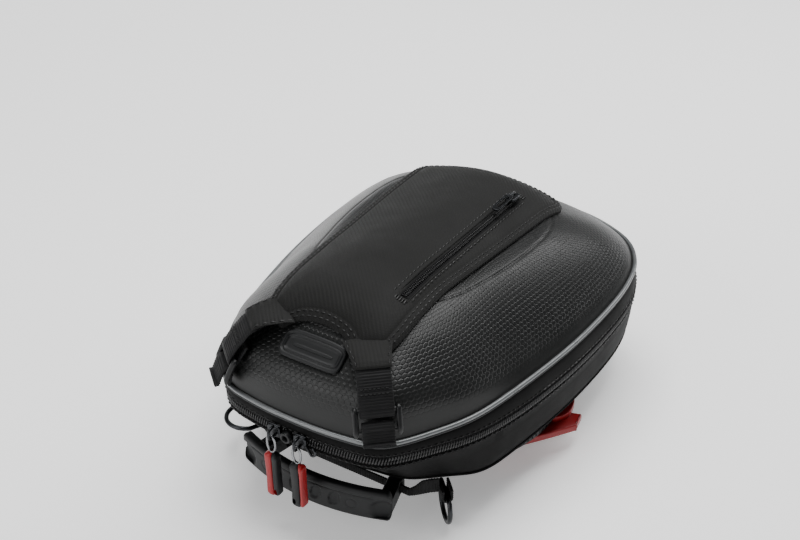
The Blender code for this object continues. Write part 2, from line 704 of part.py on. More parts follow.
def make_lock_base(tray):
    """Flange with the lever's housing; the plug ring and the hub hang under it."""
    top = TRAY_FLOOR_Z - GAP
    under = top - FLANGE_THICK - RECESS_ROOF
    bm = bmesh.new()
    turned(bm, [(PLUG_OUTER_R, under), (LOCK_FLANGE_R, under + RECESS_ROOF), (LOCK_FLANGE_R, top)], 48)
    base = to_object("lock_base", bm, BLACK_PLASTIC, tray)
    bm = bmesh.new()
    prism(bm, sector(60.0, 98.0, -38.0, 10.0, 10), LEVER_TOP_Z + 0.6, top - 0.8)
    cut(base, cutter("housing_block", bm, tray), "UNION")

    foot = under - GAP
    bm = bmesh.new()
    turned(bm, [(PLUG_INNER_R, 0.0), (PLUG_OUTER_R, 0.0), (PLUG_OUTER_R, foot), (PLUG_INNER_R, foot)],
           48, closed=True)
    ring = to_object("plug_ring", bm, BLACK_PLASTIC, tray)
    bm = bmesh.new()
    box(bm, (PLUG_INNER_R - 4.0, -7.4, TONGUE_Z[0] - 0.4), (PLUG_OUTER_R + 4.0, 7.4, TONGUE_Z[1] + 0.4))
    cut(ring, cutter("tongue_window", bm, tray))

    bm = bmesh.new()
    turned(bm, [(HUB_R, 0.0), (HUB_R, foot)], 48)
    to_object("lock_hub", bm, BLACK_PLASTIC, tray)
    return base


def screw_spots():
    angles = [math.radians(45.0 + 90.0 * k) for k in range(4)]
    return [(SCREW_CIRCLE_R * math.cos(a), SCREW_CIRCLE_R * math.sin(a)) for a in angles]


def make_screws(tray, targets):
    top = TRAY_FLOOR_Z + FABRIC_WALL + GAP + 2.5 + GAP + 1.6 + GAP
    bm = bmesh.new()
    for spot in screw_spots():
        turned(bm, [(SCREW_HOLE_R, 10.0), (SCREW_HOLE_R, top + 10.0)], 12, spot)
    tool = cutter("screw_holes", bm, tray)
    for target in targets:
        cut(target, tool)
    for number, spot in enumerate(screw_spots(), 1):
        bm = bmesh.new()
        turned(bm, [(SCREW_R, 24.0), (SCREW_R, top), (4.0, top), (3.2, top + 2.0)], 12, spot)
        to_object("base_screw_%d" % number, bm, BRIGHT_STEEL, tray)


def make_lever(lever, tongue, tray):
    low = LEVER_TOP_Z - LEVER_THICK
    px, py = LEVER_PIVOT
    eye = [(px + 9.0 * math.cos(math.radians(a)), py + 9.0 * math.sin(math.radians(a)))
           for a in range(150, 301, 30)]
    blade = eye + [(80.4, -36.0), (97.0, -16.0), (113.2, 6.6), (111.0, 19.0), (100.8, 15.4),
                   (94.0, -2.0), (84.0, -15.0), (74.0, -24.5)]
    bm = bmesh.new()
    prism(bm, blade, low, LEVER_TOP_Z)
    body = to_object("release_lever", bm, RED_PLASTIC, lever)
    bm = bmesh.new()
    thumb = [(100.0, 7.0), (105.0, 9.0), (105.0, 21.0), (101.5, 26.0), (98.0, 22.0)]
    prism(bm, thumb, LEVER_TOP_Z - 1.0, LEVER_TOP_Z + 6.5)
    cut(body, cutter("thumb_tab", bm, lever), "UNION")
    bm = bmesh.new()
    turned(bm, [(LEVER_PIN_R + GAP, low - 5.0), (LEVER_PIN_R + GAP, LEVER_TOP_Z + 5.0)], 16, (px, py))
    cut(body, cutter("pin_hole", bm, lever))

    bm = bmesh.new()
    turned(bm, [(5.0, low - 2.0), (5.0, low - GAP), (LEVER_PIN_R, low - GAP),
                (LEVER_PIN_R, LEVER_TOP_Z + 0.25)], 16, (px, py))
    to_object("lever_pin", bm, BRIGHT_STEEL, tray)

    bm = bmesh.new()
    box(bm, (36.0, -7.0, TONGUE_Z[0]), (61.5, 7.0, TONGUE_Z[1]))
    to_object("lock_tongue", bm, BLACK_PLASTIC, tongue)

    bm = bmesh.new()
    coil = []
    axis_z = sum(TONGUE_Z) / 2
    for k in range(6 * 10 + 1):
        angle = 2.0 * math.pi * k / 10
        along = SPRING_X[0] + (SPRING_X[1] - SPRING_X[0]) * k / 60
        coil.append((along, SPRING_R * math.cos(angle), axis_z + SPRING_R * math.sin(angle)))
    sweep(bm, coil, SPRING_WIRE_R, 5)
    to_object("tongue_spring", bm, BRIGHT_STEEL, tray)


# ---- handle and rings -----------------------------------------------------------
def make_handle(handle):
    """Bowed grip with a lug at each end; the eyes leave room to tip on the webbing."""
    low, high = HANDLE_Z
    bm = bmesh.new()
    path = []
    for k in range(17):
        x = HANDLE_HALF * (k / 8 - 1.0)
        path.append((x, HANDLE_FRONT_Y + HANDLE_BOW * (x / HANDLE_HALF) ** 2))
    back = [(x * 0.96, y + HANDLE_THICK) for x, y in path]
    prism(bm, path + back[::-1], low, high)
    grip = to_object("handle", bm, BLACK_RUBBER, handle)
    for side in (-1, 1):
        bm = bmesh.new()
        arm = [(side * 45.0, -133.0), (side * 54.5, -131.0), (side * 48.0, -102.5), (side * 38.0, -102.5)]
        prism(bm, arm, LUG_Z[0], LUG_Z[1])
        cut(grip, cutter("lug_block_%d" % (side + 1), bm, handle), "UNION")
        bm = bmesh.new()
        box(bm, (side * 43.0 - 12.0, -110.4, 19.1), (side * 43.0 + 12.0, -105.6, 26.9))
        cut(grip, cutter("lug_eye_%d" % (side + 1), bm, handle))


def make_front_webbing(tray):
    """Flat webbing on edge that the handle's two lugs turn on."""
    bm = bmesh.new()
    half_thick = WEBBING_THICK / 2
    box(bm, (-HANDLE_HALF, HANDLE_HINGE[1] - half_thick, HANDLE_HINGE[2] - 3.0),
        (HANDLE_HALF, HANDLE_HINGE[1] + half_thick, HANDLE_HINGE[2] + 3.0))
    to_object("front_webbing", bm, BLACK_WEBBING, tray)


RING_AXES = {"left": Vector((0.69, -0.724, 0.0)), "right": Vector((0.695, -0.719, 0.0))}
RING_OUT = {"left": Vector((-0.724, -0.69, 0.0)), "right": Vector((0.0, 0.0, -1.0))}
RING_SPOT = {"left": Vector((-72.0, -98.0, 23.6)), "right": Vector((73.5, -97.0, 23.6))}


def make_ring(word, ring):
    """D-shaped ring: a straight bar in the webbing and a round bow outside it."""
    axis, out, spot = RING_AXES[word], RING_OUT[word], RING_SPOT[word]
    path = [spot + axis * along for along in (-RING_BAR, -RING_BAR / 3, RING_BAR / 3, RING_BAR)]
    for k in range(13):
        angle = math.pi * k / 12
        path.append(spot + axis * RING_BOW * math.cos(angle)
                    + out * (RING_SHANK + (RING_BOW + 1.0) * math.sin(angle)))
    bm = bmesh.new()
    sweep(bm, path, RING_STOCK_R, 8, closed=True)
    to_object("d_ring_" + word, bm, GUNMETAL, ring)


def make_ring_tab(word, tray):
    """Webbing folded under the ring's bar, both ends sewn up to the tray's floor."""
    axis, spot = RING_AXES[word], RING_SPOT[word]
    away = axis.cross(Vector((0.0, 0.0, 1.0)))
    inner = RING_STOCK_R + GAP
    outer = inner + TAB_THICK
    under = [math.radians(180 + 20 * k) for k in range(10)]
    profile = [(-outer, TAB_RISE)]
    profile += [(outer * math.cos(a), outer * math.sin(a)) for a in under]
    profile += [(outer, TAB_RISE), (inner, TAB_RISE)]
    profile += [(inner * math.cos(a), inner * math.sin(a)) for a in reversed(under)]
    profile += [(-inner, TAB_RISE)]
    bm = bmesh.new()
    loft(bm, [[spot + axis * along + away * a + Vector((0.0, 0.0, z)) for a, z in profile]
              for along in (-TAB_WIDTH / 2, TAB_WIDTH / 2)])
    to_object("ring_tab_" + word, bm, BLACK_WEBBING, tray)


# ---- assembly -------------------------------------------------------------------
def main():
    clear_scene()
    tray = add_empty("tray_body", (0.0, 0.0, 0.0))
    lid = add_empty("lid_body", LID_HINGE, tray)
    cover = add_empty("cover_body", COVER_HINGE, lid)

    make_upper_shell(lid)
    make_rim_pieces(lid, tray)
    make_lid_details(lid)
    make_cover(cover)
    for side, word in ((-1, "left"), (1, "right")):
        make_buckle(side, word, cover, lid)

    lift = PANEL_LIFT + PANEL_THICK + GAP + POCKET_ZIP_THICK + 2 * GAP
    seat = pocket_point(POCKET_SLIDER_SHARE, lift)
    pocket_slider = add_empty("pocket_slider_body", seat, cover)
    pocket_pull = add_empty("pocket_pull_body", seat + Vector((0.0, -3.0, 5.0)), pocket_slider)
    make_pocket(cover, pocket_slider, pocket_pull)

    for word, x in SLIDERS:
        track = slider_seat(x)
        slider = add_empty("slider_body_" + word, (0.0, TRACK_CENTRE_Y, track.z), tray)
        hinge = track + Vector((0.0, -BRIDGE_OUT, -BRIDGE_DROP))
        pull = add_empty("pull_body_" + word, hinge, slider)
        make_slider(word, x, slider, pull)
    make_lock_block(tray)

    shell = make_tray(tray)
    board, plate = make_floor(tray)
    make_hinge_strip(tray)
    lock = make_lock_base(tray)
    make_screws(tray, [shell, board, plate, lock])

    lever = add_empty("lever_body", (*LEVER_PIVOT, LEVER_TOP_Z), tray)
    tongue = add_empty("tongue_body", (48.0, 0.0, sum(TONGUE_Z) / 2), tray)
    make_lever(lever, tongue, tray)

    handle = add_empty("handle_body", HANDLE_HINGE, tray)
    make_handle(handle)
    make_front_webbing(tray)
    for word in ("left", "right"):
        ring = add_empty("ring_body_" + word, RING_SPOT[word], tray)
        make_ring(word, ring)
        make_ring_tab(word, tray)


main()
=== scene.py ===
import bisect
import math

import bpy
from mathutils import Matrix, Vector, noise


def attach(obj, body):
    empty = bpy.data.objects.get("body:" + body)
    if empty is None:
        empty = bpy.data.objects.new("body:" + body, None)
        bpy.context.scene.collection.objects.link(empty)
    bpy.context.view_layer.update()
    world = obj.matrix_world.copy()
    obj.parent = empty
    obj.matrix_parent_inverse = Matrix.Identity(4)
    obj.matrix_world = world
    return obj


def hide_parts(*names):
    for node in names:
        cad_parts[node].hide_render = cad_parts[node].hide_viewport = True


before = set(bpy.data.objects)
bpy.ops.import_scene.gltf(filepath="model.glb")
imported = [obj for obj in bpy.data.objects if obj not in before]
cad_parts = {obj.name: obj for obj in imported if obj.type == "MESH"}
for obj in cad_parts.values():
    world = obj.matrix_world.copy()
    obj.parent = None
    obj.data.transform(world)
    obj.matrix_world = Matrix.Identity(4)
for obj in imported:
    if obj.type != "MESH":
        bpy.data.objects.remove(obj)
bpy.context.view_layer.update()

MM = 0.001
UP = Vector((0.0, 0.0, 1.0))

# ---- sizes shared with the hard parts -------------------------------------------
SEAM_Z = 88.0            # height of the piping above the lock base's face
CENTRE_Y = 5.0           # middle that the plan outline shrinks towards
AROUND = 224             # stations round the plan outline
SHELL_WALL = 4.0
FABRIC_WALL = 3.0
GAP = 0.35
PIPING_R = 2.3
COIL_HEIGHT = 2.9
BAND_WALL = 2.4
PANEL_THICK = 2.4
PANEL_LIFT = 2.5
WEBBING = 21.0
WEBBING_THICK = 1.6
TRAY_FLOOR_Z = 30.0
TOOTH_PITCH = 1.8        # spacing of the zip's teeth
TOOTH_SLANT = 0.3        # how far a turn leans along the chain for each mm across it
WEBBING_PITCH = 1.7      # spacing of the webbing's ribs
STITCH = 3.0
STITCH_GAP = 1.3
THREAD_R = 0.33

HALF_OUTLINE = [
    (0.0, -149.5), (18.0, -149.0), (34.0, -147.3), (49.0, -144.4), (60.5, -137.5),
    (74.0, -119.0), (89.5, -89.5), (99.5, -48.0), (107.3, 2.0), (110.0, 50.0),
    (108.3, 84.0), (101.5, 110.0), (86.0, 131.0), (59.0, 144.5), (30.0, 149.8), (0.0, 151.0)]
SIDE_PROFILE = [(0.0, 51.0), (0.5, 50.0), (0.573, 48.5), (0.664, 42.0), (0.773, 31.0),
                (0.864, 20.0), (0.945, 9.0), (0.975, 4.6), (1.0, 0.0)]
FRONT_PROFILE = [(0.0, 51.0), (0.573, 50.5), (0.65, 49.0), (0.7, 47.0), (0.755, 44.0),
                 (0.844, 37.0), (0.909, 31.0), (0.945, 26.0), (0.97, 19.0), (1.0, 0.0)]
HUMP_HEIGHT = 7.5
HUMP_HALF_WIDTH = 52.0
REAR_FALL = 0.055
TRAY_LOOPS = [(58.0, 1.02, 14.0, 0.0), (48.0, 1.012, 23.0, 0.0), (40.0, 1.0, 30.0, 2.0),
              (34.0, 0.97, 35.0, 6.0), (31.0, 0.925, 39.0, 12.0), (TRAY_FLOOR_Z, 0.865, 45.0, 20.0)]
SET_BACK_FROM = 62.0


# ---- the bag's form -------------------------------------------------------------
def hermite(points, x):
    """Smooth curve through (x, y) pairs, clamped at both ends."""
    if x <= points[0][0]:
        return points[0][1]
    if x >= points[-1][0]:
        return points[-1][1]
    last = len(points) - 2
    i = next(k for k in range(last + 1) if x <= points[k + 1][0])

    def slope(k):
        """Slope at a point, from its two neighbours."""
        low = points[max(k - 1, 0)]
        high = points[min(k + 1, last + 1)]
        return (high[1] - low[1]) / (high[0] - low[0])

    (x0, y0), (x1, y1) = points[i], points[i + 1]
    width = x1 - x0
    t = (x - x0) / width
    return ((2 * t ** 3 - 3 * t ** 2 + 1) * y0 + (t ** 3 - 2 * t ** 2 + t) * width * slope(i)
            + (3 * t ** 2 - 2 * t ** 3) * y1 + (t ** 3 - t ** 2) * width * slope(i + 1))


def smoothstep(low, high, x):
    """0 below low, 1 above high, and an even S-curve between."""
    t = min(max((x - low) / (high - low), 0.0), 1.0)
    return t * t * (3.0 - 2.0 * t)


def rounded(corners, count):
    """Closed smooth curve through 2-D corners, spaced evenly."""
    size = len(corners)
    dense = []
    for i in range(size):
        p0, p1, p2, p3 = (Vector(corners[(i + k) % size]) for k in (-1, 0, 1, 2))
        for k in range(12):
            t = k / 12.0
            dense.append(0.5 * (2.0 * p1 + t * (p2 - p0) + t * t * (2 * p0 - 5 * p1 + 4 * p2 - p3)
                                + t ** 3 * (3 * p1 - p0 - 3 * p2 + p3)))
    lengths = [0.0]
    for a, b in zip(dense, dense[1:] + dense[:1]):
        lengths.append(lengths[-1] + (b - a).length)
    points = []
    j = 0
    for i in range(count):
        target = lengths[-1] * i / count
        while lengths[j + 1] < target:
            j += 1
        share = (target - lengths[j]) / (lengths[j + 1] - lengths[j])
        points.append(dense[j].lerp(dense[(j + 1) % len(dense)], share))
    return points


WHOLE_OUTLINE = HALF_OUTLINE + [(-x, y) for x, y in HALF_OUTLINE[-2:0:-1]]
OUTLINE = rounded(WHOLE_OUTLINE, AROUND)
ROUND_LENGTH = sum((a - b).length for a, b in zip(OUTLINE, OUTLINE[1:] + OUTLINE[:1]))
HALF_DENSE = [(p.y, p.x) for p in rounded(WHOLE_OUTLINE, 360)[:181]]
HALF_YS = [y for y, _ in HALF_DENSE]
FRONT_SPAN = CENTRE_Y - HALF_OUTLINE[0][1]


def half_width(y):
    """Half the bag's width at y, at the piping."""
    if y <= HALF_YS[0] or y >= HALF_YS[-1]:
        return -1.0
    k = max(bisect.bisect_left(HALF_YS, y), 1)
    (y0, x0), (y1, x1) = HALF_DENSE[k - 1], HALF_DENSE[k]
    return x0 + (x1 - x0) * (y - y0) / (y1 - y0)


def plan_scale(x, y):
    """Scale at which the shrunken outline passes through (x, y)."""
    low, high = 0.02, 1.3
    for _ in range(20):
        middle = 0.5 * (low + high)
        if abs(x) / middle <= half_width(CENTRE_Y + (y - CENTRE_Y) / middle):
            high = middle
        else:
            low = middle
    return high


def lid_height(x, y):
    """Height of the lid's outer skin above the piping."""
    scale = min(plan_scale(x, y), 1.0)
    forward = (CENTRE_Y - y) / (FRONT_SPAN * scale)
    share = smoothstep(0.35, 0.95, forward)
    base = (1.0 - share) * hermite(SIDE_PROFILE, scale) + share * hermite(FRONT_PROFILE, scale)
    base -= REAR_FALL * max(y + 50.0, 0.0) * (1.0 - smoothstep(0.55, 1.0, scale))
    across = max(0.0, 1.0 - (x / HUMP_HALF_WIDTH) ** 2)
    along = smoothstep(-132.0, -98.0, y) * (1.0 - smoothstep(70.0, 125.0, y))
    return base + HUMP_HEIGHT * across * across * along


def lid_normal(x, y, step=0.6):
    """Unit normal of the lid's skin, from the slope over a short step."""
    slope_x = (lid_height(x + step, y) - lid_height(x - step, y)) / (2 * step)
    slope_y = (lid_height(x, y + step) - lid_height(x, y - step)) / (2 * step)
    return Vector((-slope_x, -slope_y, 1.0)).normalized()


def lid_point(x, y, lift=0.0):
    """Point on the lid's skin, moved along its normal by lift."""
    spot = Vector((x, y, SEAM_Z + lid_height(x, y)))
    return spot + lid_normal(x, y) * lift if lift else spot


def outward(points, i):
    """Unit normal of a closed plan curve at station i."""
    tangent = points[(i + 1) % len(points)] - points[i - 1]
    return Vector((tangent.y, -tangent.x)).normalized()


def rim(offset, z_of, points=OUTLINE):
    """The outline pushed out by offset (a number or a function of y), at height z_of(y)."""
    loop = []
    for i, point in enumerate(points):
        push = offset(point.y) if callable(offset) else offset
        height = z_of(point.y) if callable(z_of) else z_of
        moved = point + outward(points, i) * push
        loop.append(Vector((moved.x, moved.y, height)))
    return loop


def zip_z(y):
    """Middle of the zip chain: it drops from the front to the sides."""
    return SEAM_Z - 13.0 - 5.5 * smoothstep(-150.0, -30.0, y)


def zip_bulge(y):
    """How far the wall at the zip stands outside the piping outline."""
    return 2.4 * smoothstep(-140.0, -40.0, y)


def tray_section(z, scale_x, front, rear, inset=0.0):
    """The outline narrowed to the sides and set back at the front and rear."""
    loop = []
    for i, point in enumerate(OUTLINE):
        spot = point - outward(OUTLINE, i) * inset
        y = spot.y + front * smoothstep(SET_BACK_FROM, 150.0, -point.y)
        y -= rear * smoothstep(SET_BACK_FROM, 150.0, point.y)
        loop.append(Vector((spot.x * scale_x, y, z)))
    return loop


# ---- making pieces --------------------------------------------------------------
class Work:
    """One piece while it is being made: points, faces, finish numbers and pattern."""

    def __init__(self):
        self.points = []
        self.faces = []
        self.finishes = []
        self.pattern = []

    def skin(self, loops, closed=False, caps=True, finish=0, pattern=None):
        """Joins closed loops; pattern gives (u, v, strength) for each point."""
        start = len(self.points)
        count = len(loops[0])
        rows = len(loops)
        for row, loop in enumerate(loops):
            for i, point in enumerate(loop):
                self.points.append(Vector(point))
                self.pattern.append(pattern[row][i] if pattern else (0.0, 0.0, 0.0))
        for row in range(rows if closed else rows - 1):
            low = start + row * count
            high = start + ((row + 1) % rows) * count
            for i in range(count):
                j = (i + 1) % count
                self.faces.append((low + i, low + j, high + j, high + i))
                self.finishes.append(finish)
        if caps and not closed:
            self.faces.append(tuple(start + i for i in reversed(range(count))))
            self.faces.append(tuple(start + (rows - 1) * count + i for i in range(count)))
            self.finishes += [finish, finish]

    def rod(self, path, radius, sides=8, closed=False, finish=0, ends=True):
        """Round rod along a path; radius is a number or one number for each point."""
        points = [Vector(p) for p in path]
        count = len(points)
        radii = radius if isinstance(radius, (list, tuple)) else [radius] * count
        tangents = []
        for i, point in enumerate(points):
            before = points[(i - 1) % count] if closed or i > 0 else point
            after = points[(i + 1) % count] if closed or i < count - 1 else point
            tangents.append((after - before).normalized())
        normal = tangents[0].orthogonal().normalized()
        loops = []
        for point, tangent, size in zip(points, tangents, radii):
            normal = (normal - tangent * normal.dot(tangent)).normalized()
            side = tangent.cross(normal)
            loops.append([point + size * (math.cos(a) * normal + math.sin(a) * side)
                          for a in (2.0 * math.pi * k / sides for k in range(sides))])
        self.skin(loops, closed, ends, finish)

    def slab(self, outline, low, high, edge, place, finish=0, steps=4):
        """Plate with rounded edges; place(x, y, z) puts its own axes in the bag's."""
        flat = [Vector(p) for p in outline]
        normals = [outward(flat, i) for i in range(len(flat))]
        levels = []
        for k in range(steps + 1):
            angle = 0.5 * math.pi * k / steps
            levels.append((edge * (1.0 - math.sin(angle)), low + edge * (1.0 - math.cos(angle))))
        levels += [(inset, low + high - z) for inset, z in reversed(levels)]
        self.skin([[place(*(p - n * inset), z) for p, n in zip(flat, normals)]
                   for inset, z in levels], finish=finish)

    def ribbon(self, spots, wides, ups, thick, pitch=WEBBING_PITCH, depth=0.22, finish=0):
        """Ribbed webbing along spots; wides are half-width vectors, ups face out."""
        runs = [0.0]
        for a, b in zip(spots, spots[1:]):
            runs.append(runs[-1] + (b - a).length)
        steps = max(int(runs[-1] / pitch * 4), 4)
        loops = []
        for k in range(steps + 1):
            along = runs[-1] * k / steps
            j = min(max(bisect.bisect_right(runs, along) - 1, 0), len(spots) - 2)
            share = (along - runs[j]) / max(runs[j + 1] - runs[j], 1e-6)
            spot = spots[j].lerp(spots[j + 1], share)
            wide = wides[j].lerp(wides[j + 1], share)
            up = ups[j].lerp(ups[j + 1], share).normalized()
            rib = depth * math.sin(2.0 * math.pi * along / pitch)
            half = 0.5 * thick
            loop = []
            for across, level in ((-1.0, -0.4), (-0.97, -0.85), (-0.5, -1.0), (0.0, -1.0), (0.5, -1.0),
                                  (0.97, -0.85), (1.0, -0.4), (1.0, 0.4), (0.97, 0.85), (0.5, 1.0),
                                  (0.0, 1.0), (-0.5, 1.0), (-0.97, 0.85), (-1.0, 0.4)):
                reach = half + rib if abs(level) > 0.8 else half
                loop.append(spot + wide * across + up * level * reach)
            loops.append(loop)
        self.skin(loops, finish=finish)

    def stitches(self, spots, ups, closed=False, length=STITCH, gap=STITCH_GAP, finish=0):
        """A row of thread stitches lying on a surface whose normals are ups."""
        line = list(spots) + ([spots[0]] if closed else [])
        faces_up = list(ups) + ([ups[0]] if closed else [])
        runs = [0.0]
        for a, b in zip(line, line[1:]):
            runs.append(runs[-1] + (b - a).length)
        count = max(int(runs[-1] / (length + gap)), 1)
        pitch = runs[-1] / count

        def at(along):
            """Place and facing at a distance along the line."""
            j = min(max(bisect.bisect_right(runs, along) - 1, 0), len(line) - 2)
            share = (along - runs[j]) / max(runs[j + 1] - runs[j], 1e-6)
            return line[j].lerp(line[j + 1], share), faces_up[j].lerp(faces_up[j + 1], share)

        for k in range(count):
            path = []
            for share, lift in ((0.0, -0.2), (0.2, 0.22), (0.5, 0.34), (0.8, 0.22), (1.0, -0.2)):
                spot, up = at(pitch * k + length * share)
                path.append(spot + up.normalized() * lift)
            self.rod(path, [THREAD_R * 0.6, THREAD_R, THREAD_R, THREAD_R, THREAD_R * 0.6], 5, finish=finish)


def fit(name, work, finishes, body, stands_for=(), sharp=38.0):
    """Turns the work into a named piece that rides on a body, and returns it."""
    mesh = bpy.data.meshes.new(name)
    mesh.from_pydata([tuple(point * MM) for point in work.points], [], work.faces)
    pattern = mesh.attributes.new("pattern", "FLOAT_VECTOR", "POINT")
    pattern.data.foreach_set("vector", [value for entry in work.pattern for value in entry])
    finishes = finishes if isinstance(finishes, (list, tuple)) else [finishes]
    for finish in finishes:
        mesh.materials.append(finish)
    mesh.polygons.foreach_set("material_index", work.finishes)
    mesh.shade_smooth()
    obj = bpy.data.objects.new(name, mesh)
    bpy.context.collection.objects.link(obj)
    bpy.context.view_layer.objects.active = obj
    bpy.ops.object.mode_set(mode="EDIT")
    bpy.ops.mesh.select_all(action="SELECT")
    bpy.ops.mesh.normals_make_consistent(inside=False)
    bpy.ops.object.mode_set(mode="OBJECT")
    mesh.set_sharp_from_angle(angle=math.radians(sharp))
    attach(obj, body)
    if stands_for:
        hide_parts(*stands_for)
    return obj


def straight(x, y, z):
    """A slab's own axes, when they are the bag's axes."""
    return Vector((x, y, z))


def oval(half_x, half_y, count=24, power=1.0, centre=(0.0, 0.0)):
    """Closed oval; a power below 1 squares it off."""
    points = []
    for k in range(count):
        angle = 2.0 * math.pi * k / count
        cos, sin = math.cos(angle), math.sin(angle)
        points.append((centre[0] + half_x * math.copysign(abs(cos) ** power, cos),
                       centre[1] + half_y * math.copysign(abs(sin) ** power, sin)))
    return points


def linear(code):
    """sRGB hex to linear RGBA."""
    channels = [int(code[k:k + 2], 16) / 255.0 for k in (1, 3, 5)]
    return tuple(c / 12.92 if c <= 0.04045 else ((c + 0.055) / 1.055) ** 2.4 for c in channels) + (1.0,)


def add(tree, kind, inputs=None, **settings):
    """Adds a node; inputs holds socket values, or other nodes' outputs to link."""
    node = tree.nodes.new("ShaderNode" + kind)
    for name, value in settings.items():
        setattr(node, name, value)
    for key, value in (inputs or {}).items():
        if isinstance(value, bpy.types.NodeSocket):
            tree.links.new(value, node.inputs[key])
        else:
            node.inputs[key].default_value = value
    return node


def finish_base(name, slot, dark, light, drift_mm, rough, **sockets):
    """A surface whose colour and gloss drift between two values over drift_mm."""
    mat = bpy.data.materials.new(name)
    mat.use_nodes = True
    tree = mat.node_tree
    shader = tree.nodes["Principled BSDF"]
    for socket, value in sockets.items():
        shader.inputs[socket.replace("_", " ")].default_value = value
    place = add(tree, "TexCoord").outputs["Object"]
    drift = add(tree, "TexNoise", {"Vector": place, "Scale": 1000.0 / drift_mm, "Detail": 5.0,
                                   "Roughness": 0.6})
    colour = add(tree, "Mix", {0: drift.outputs["Fac"], 6: linear(dark), 7: linear(light)},
                 data_type="RGBA")
    gloss = add(tree, "MapRange", {"Value": drift.outputs["Fac"], "From Min": 0.3, "From Max": 0.7,
                                   "To Min": rough[0], "To Max": rough[1]})
    tree.links.new(colour.outputs[2], shader.inputs["Base Color"])
    tree.links.new(gloss.outputs["Result"], shader.inputs["Roughness"])
    return mat, tree, shader, place


def raise_grain(tree, shader, height, depth_mm, strength=1.0, under=None):
    """Feeds a height to the surface as relief, over any relief already made."""
    inputs = {"Height": height, "Distance": depth_mm * MM, "Strength": strength}
    if under:
        inputs["Normal"] = under
    bump = add(tree, "Bump", inputs)
    tree.links.new(bump.outputs["Normal"], shader.inputs["Normal"])
    return bump.outputs["Normal"]


def wave_scale(pitch):
    """Wave Texture scale whose bands repeat every pitch, in the coordinates' own unit."""
    return math.pi / 10.0 / pitch


def embossed_film():
    """Polyurethane film pressed on foam in a mould: satin, with raised hexagons."""
    mat, tree, shader, place = finish_base("embossed_polyurethane_film", "eva_shell", "#0d0e0e", "#131413",
                                           60.0, (0.34, 0.44), Specular_IOR_Level=0.36)
    cell = 3.5
    sheet = add(tree, "Attribute", attribute_name="pattern").outputs["Vector"]
    parts = add(tree, "SeparateXYZ", {"Vector": sheet})
    flat = add(tree, "CombineXYZ", {"X": parts.outputs["X"], "Y": parts.outputs["Y"]}).outputs[0]
    period = (cell, cell * math.sqrt(3.0), 1.0)
    turns = add(tree, "VectorMath", {0: flat, 1: period}, operation="DIVIDE").outputs[0]
    nearest = []
    for shift in (0.0, 0.5):
        moved = add(tree, "VectorMath", {0: turns, 1: (shift + 40.0, shift + 40.0, 0.0)}, operation="ADD")
        part = add(tree, "VectorMath", {0: moved.outputs[0]}, operation="FRACTION")
        about = add(tree, "VectorMath", {0: part.outputs[0], 1: (0.5, 0.5, 0.0)}, operation="SUBTRACT")
        scaled = add(tree, "VectorMath", {0: about.outputs[0], 1: (1.0, math.sqrt(3.0), 0.0)},
                     operation="MULTIPLY")
        size = add(tree, "VectorMath", {0: scaled.outputs[0], 1: scaled.outputs[0]}, operation="DOT_PRODUCT")
        nearest.append((scaled.outputs[0], size.outputs["Value"]))
    closer = add(tree, "Math", {0: nearest[1][1], 1: nearest[0][1]}, operation="LESS_THAN").outputs[0]
    pick = add(tree, "Mix", {0: closer, 4: nearest[0][0], 5: nearest[1][0]}, data_type="VECTOR").outputs[1]
    folded = add(tree, "VectorMath", {0: pick}, operation="ABSOLUTE").outputs[0]
    lean = add(tree, "VectorMath", {0: folded, 1: (0.5, math.sqrt(3.0) / 2, 0.0)}, operation="DOT_PRODUCT")
    side = add(tree, "SeparateXYZ", {"Vector": folded}).outputs["X"]
    reach = add(tree, "Math", {0: lean.outputs["Value"], 1: side}, operation="MAXIMUM").outputs[0]
    pad = add(tree, "MapRange", {"Value": reach, "From Min": 0.32, "From Max": 0.46, "To Min": 1.0,
                                 "To Max": 0.0}, interpolation_type="SMOOTHSTEP").outputs["Result"]
    pressed = add(tree, "Math", {0: pad, 1: parts.outputs["Z"]}, operation="MULTIPLY").outputs[0]
    grain = add(tree, "TexNoise", {"Vector": place, "Scale": 1500.0, "Detail": 2.0}).outputs["Fac"]
    under = raise_grain(tree, shader, grain, 0.05, 0.35)
    raise_grain(tree, shader, pressed, 0.3, 0.5, under)
    return mat


def ribbed_polyester():
    """Coated polyester woven in diagonal ribs: matt, with a faint silky sheen."""
    mat, tree, shader, place = finish_base("ribbed_woven_polyester", "fabric", "#0e0e0d", "#151514",
                                           45.0, (0.66, 0.8), Specular_IOR_Level=0.2,
                                           Sheen_Weight=0.05, Sheen_Roughness=0.5)
    rib_mm, thread_mm = 2.3, 0.9     # ribs at half scale would blur together
    turned = add(tree, "Mapping", {"Vector": place, "Rotation": (0.0, 0.0, math.radians(-42.0))})
    ribs = add(tree, "TexWave", {"Vector": turned.outputs[0], "Scale": wave_scale(rib_mm * MM),
                                 "Distortion": 1.4, "Detail": 1.0, "Detail Scale": 0.35},
               wave_type="BANDS", bands_direction="X")
    threads = add(tree, "TexWave", {"Vector": turned.outputs[0], "Scale": wave_scale(thread_mm * MM)},
                  wave_type="BANDS", bands_direction="Y")
    slub = add(tree, "TexNoise", {"Vector": place, "Scale": 900.0, "Detail": 3.0}).outputs["Fac"]
    under = raise_grain(tree, shader, slub, 0.12, 0.6)
    under = raise_grain(tree, shader, threads.outputs["Fac"], 0.1, 0.45, under)
    raise_grain(tree, shader, ribs.outputs["Fac"], 0.3, 0.5, under)
    return mat


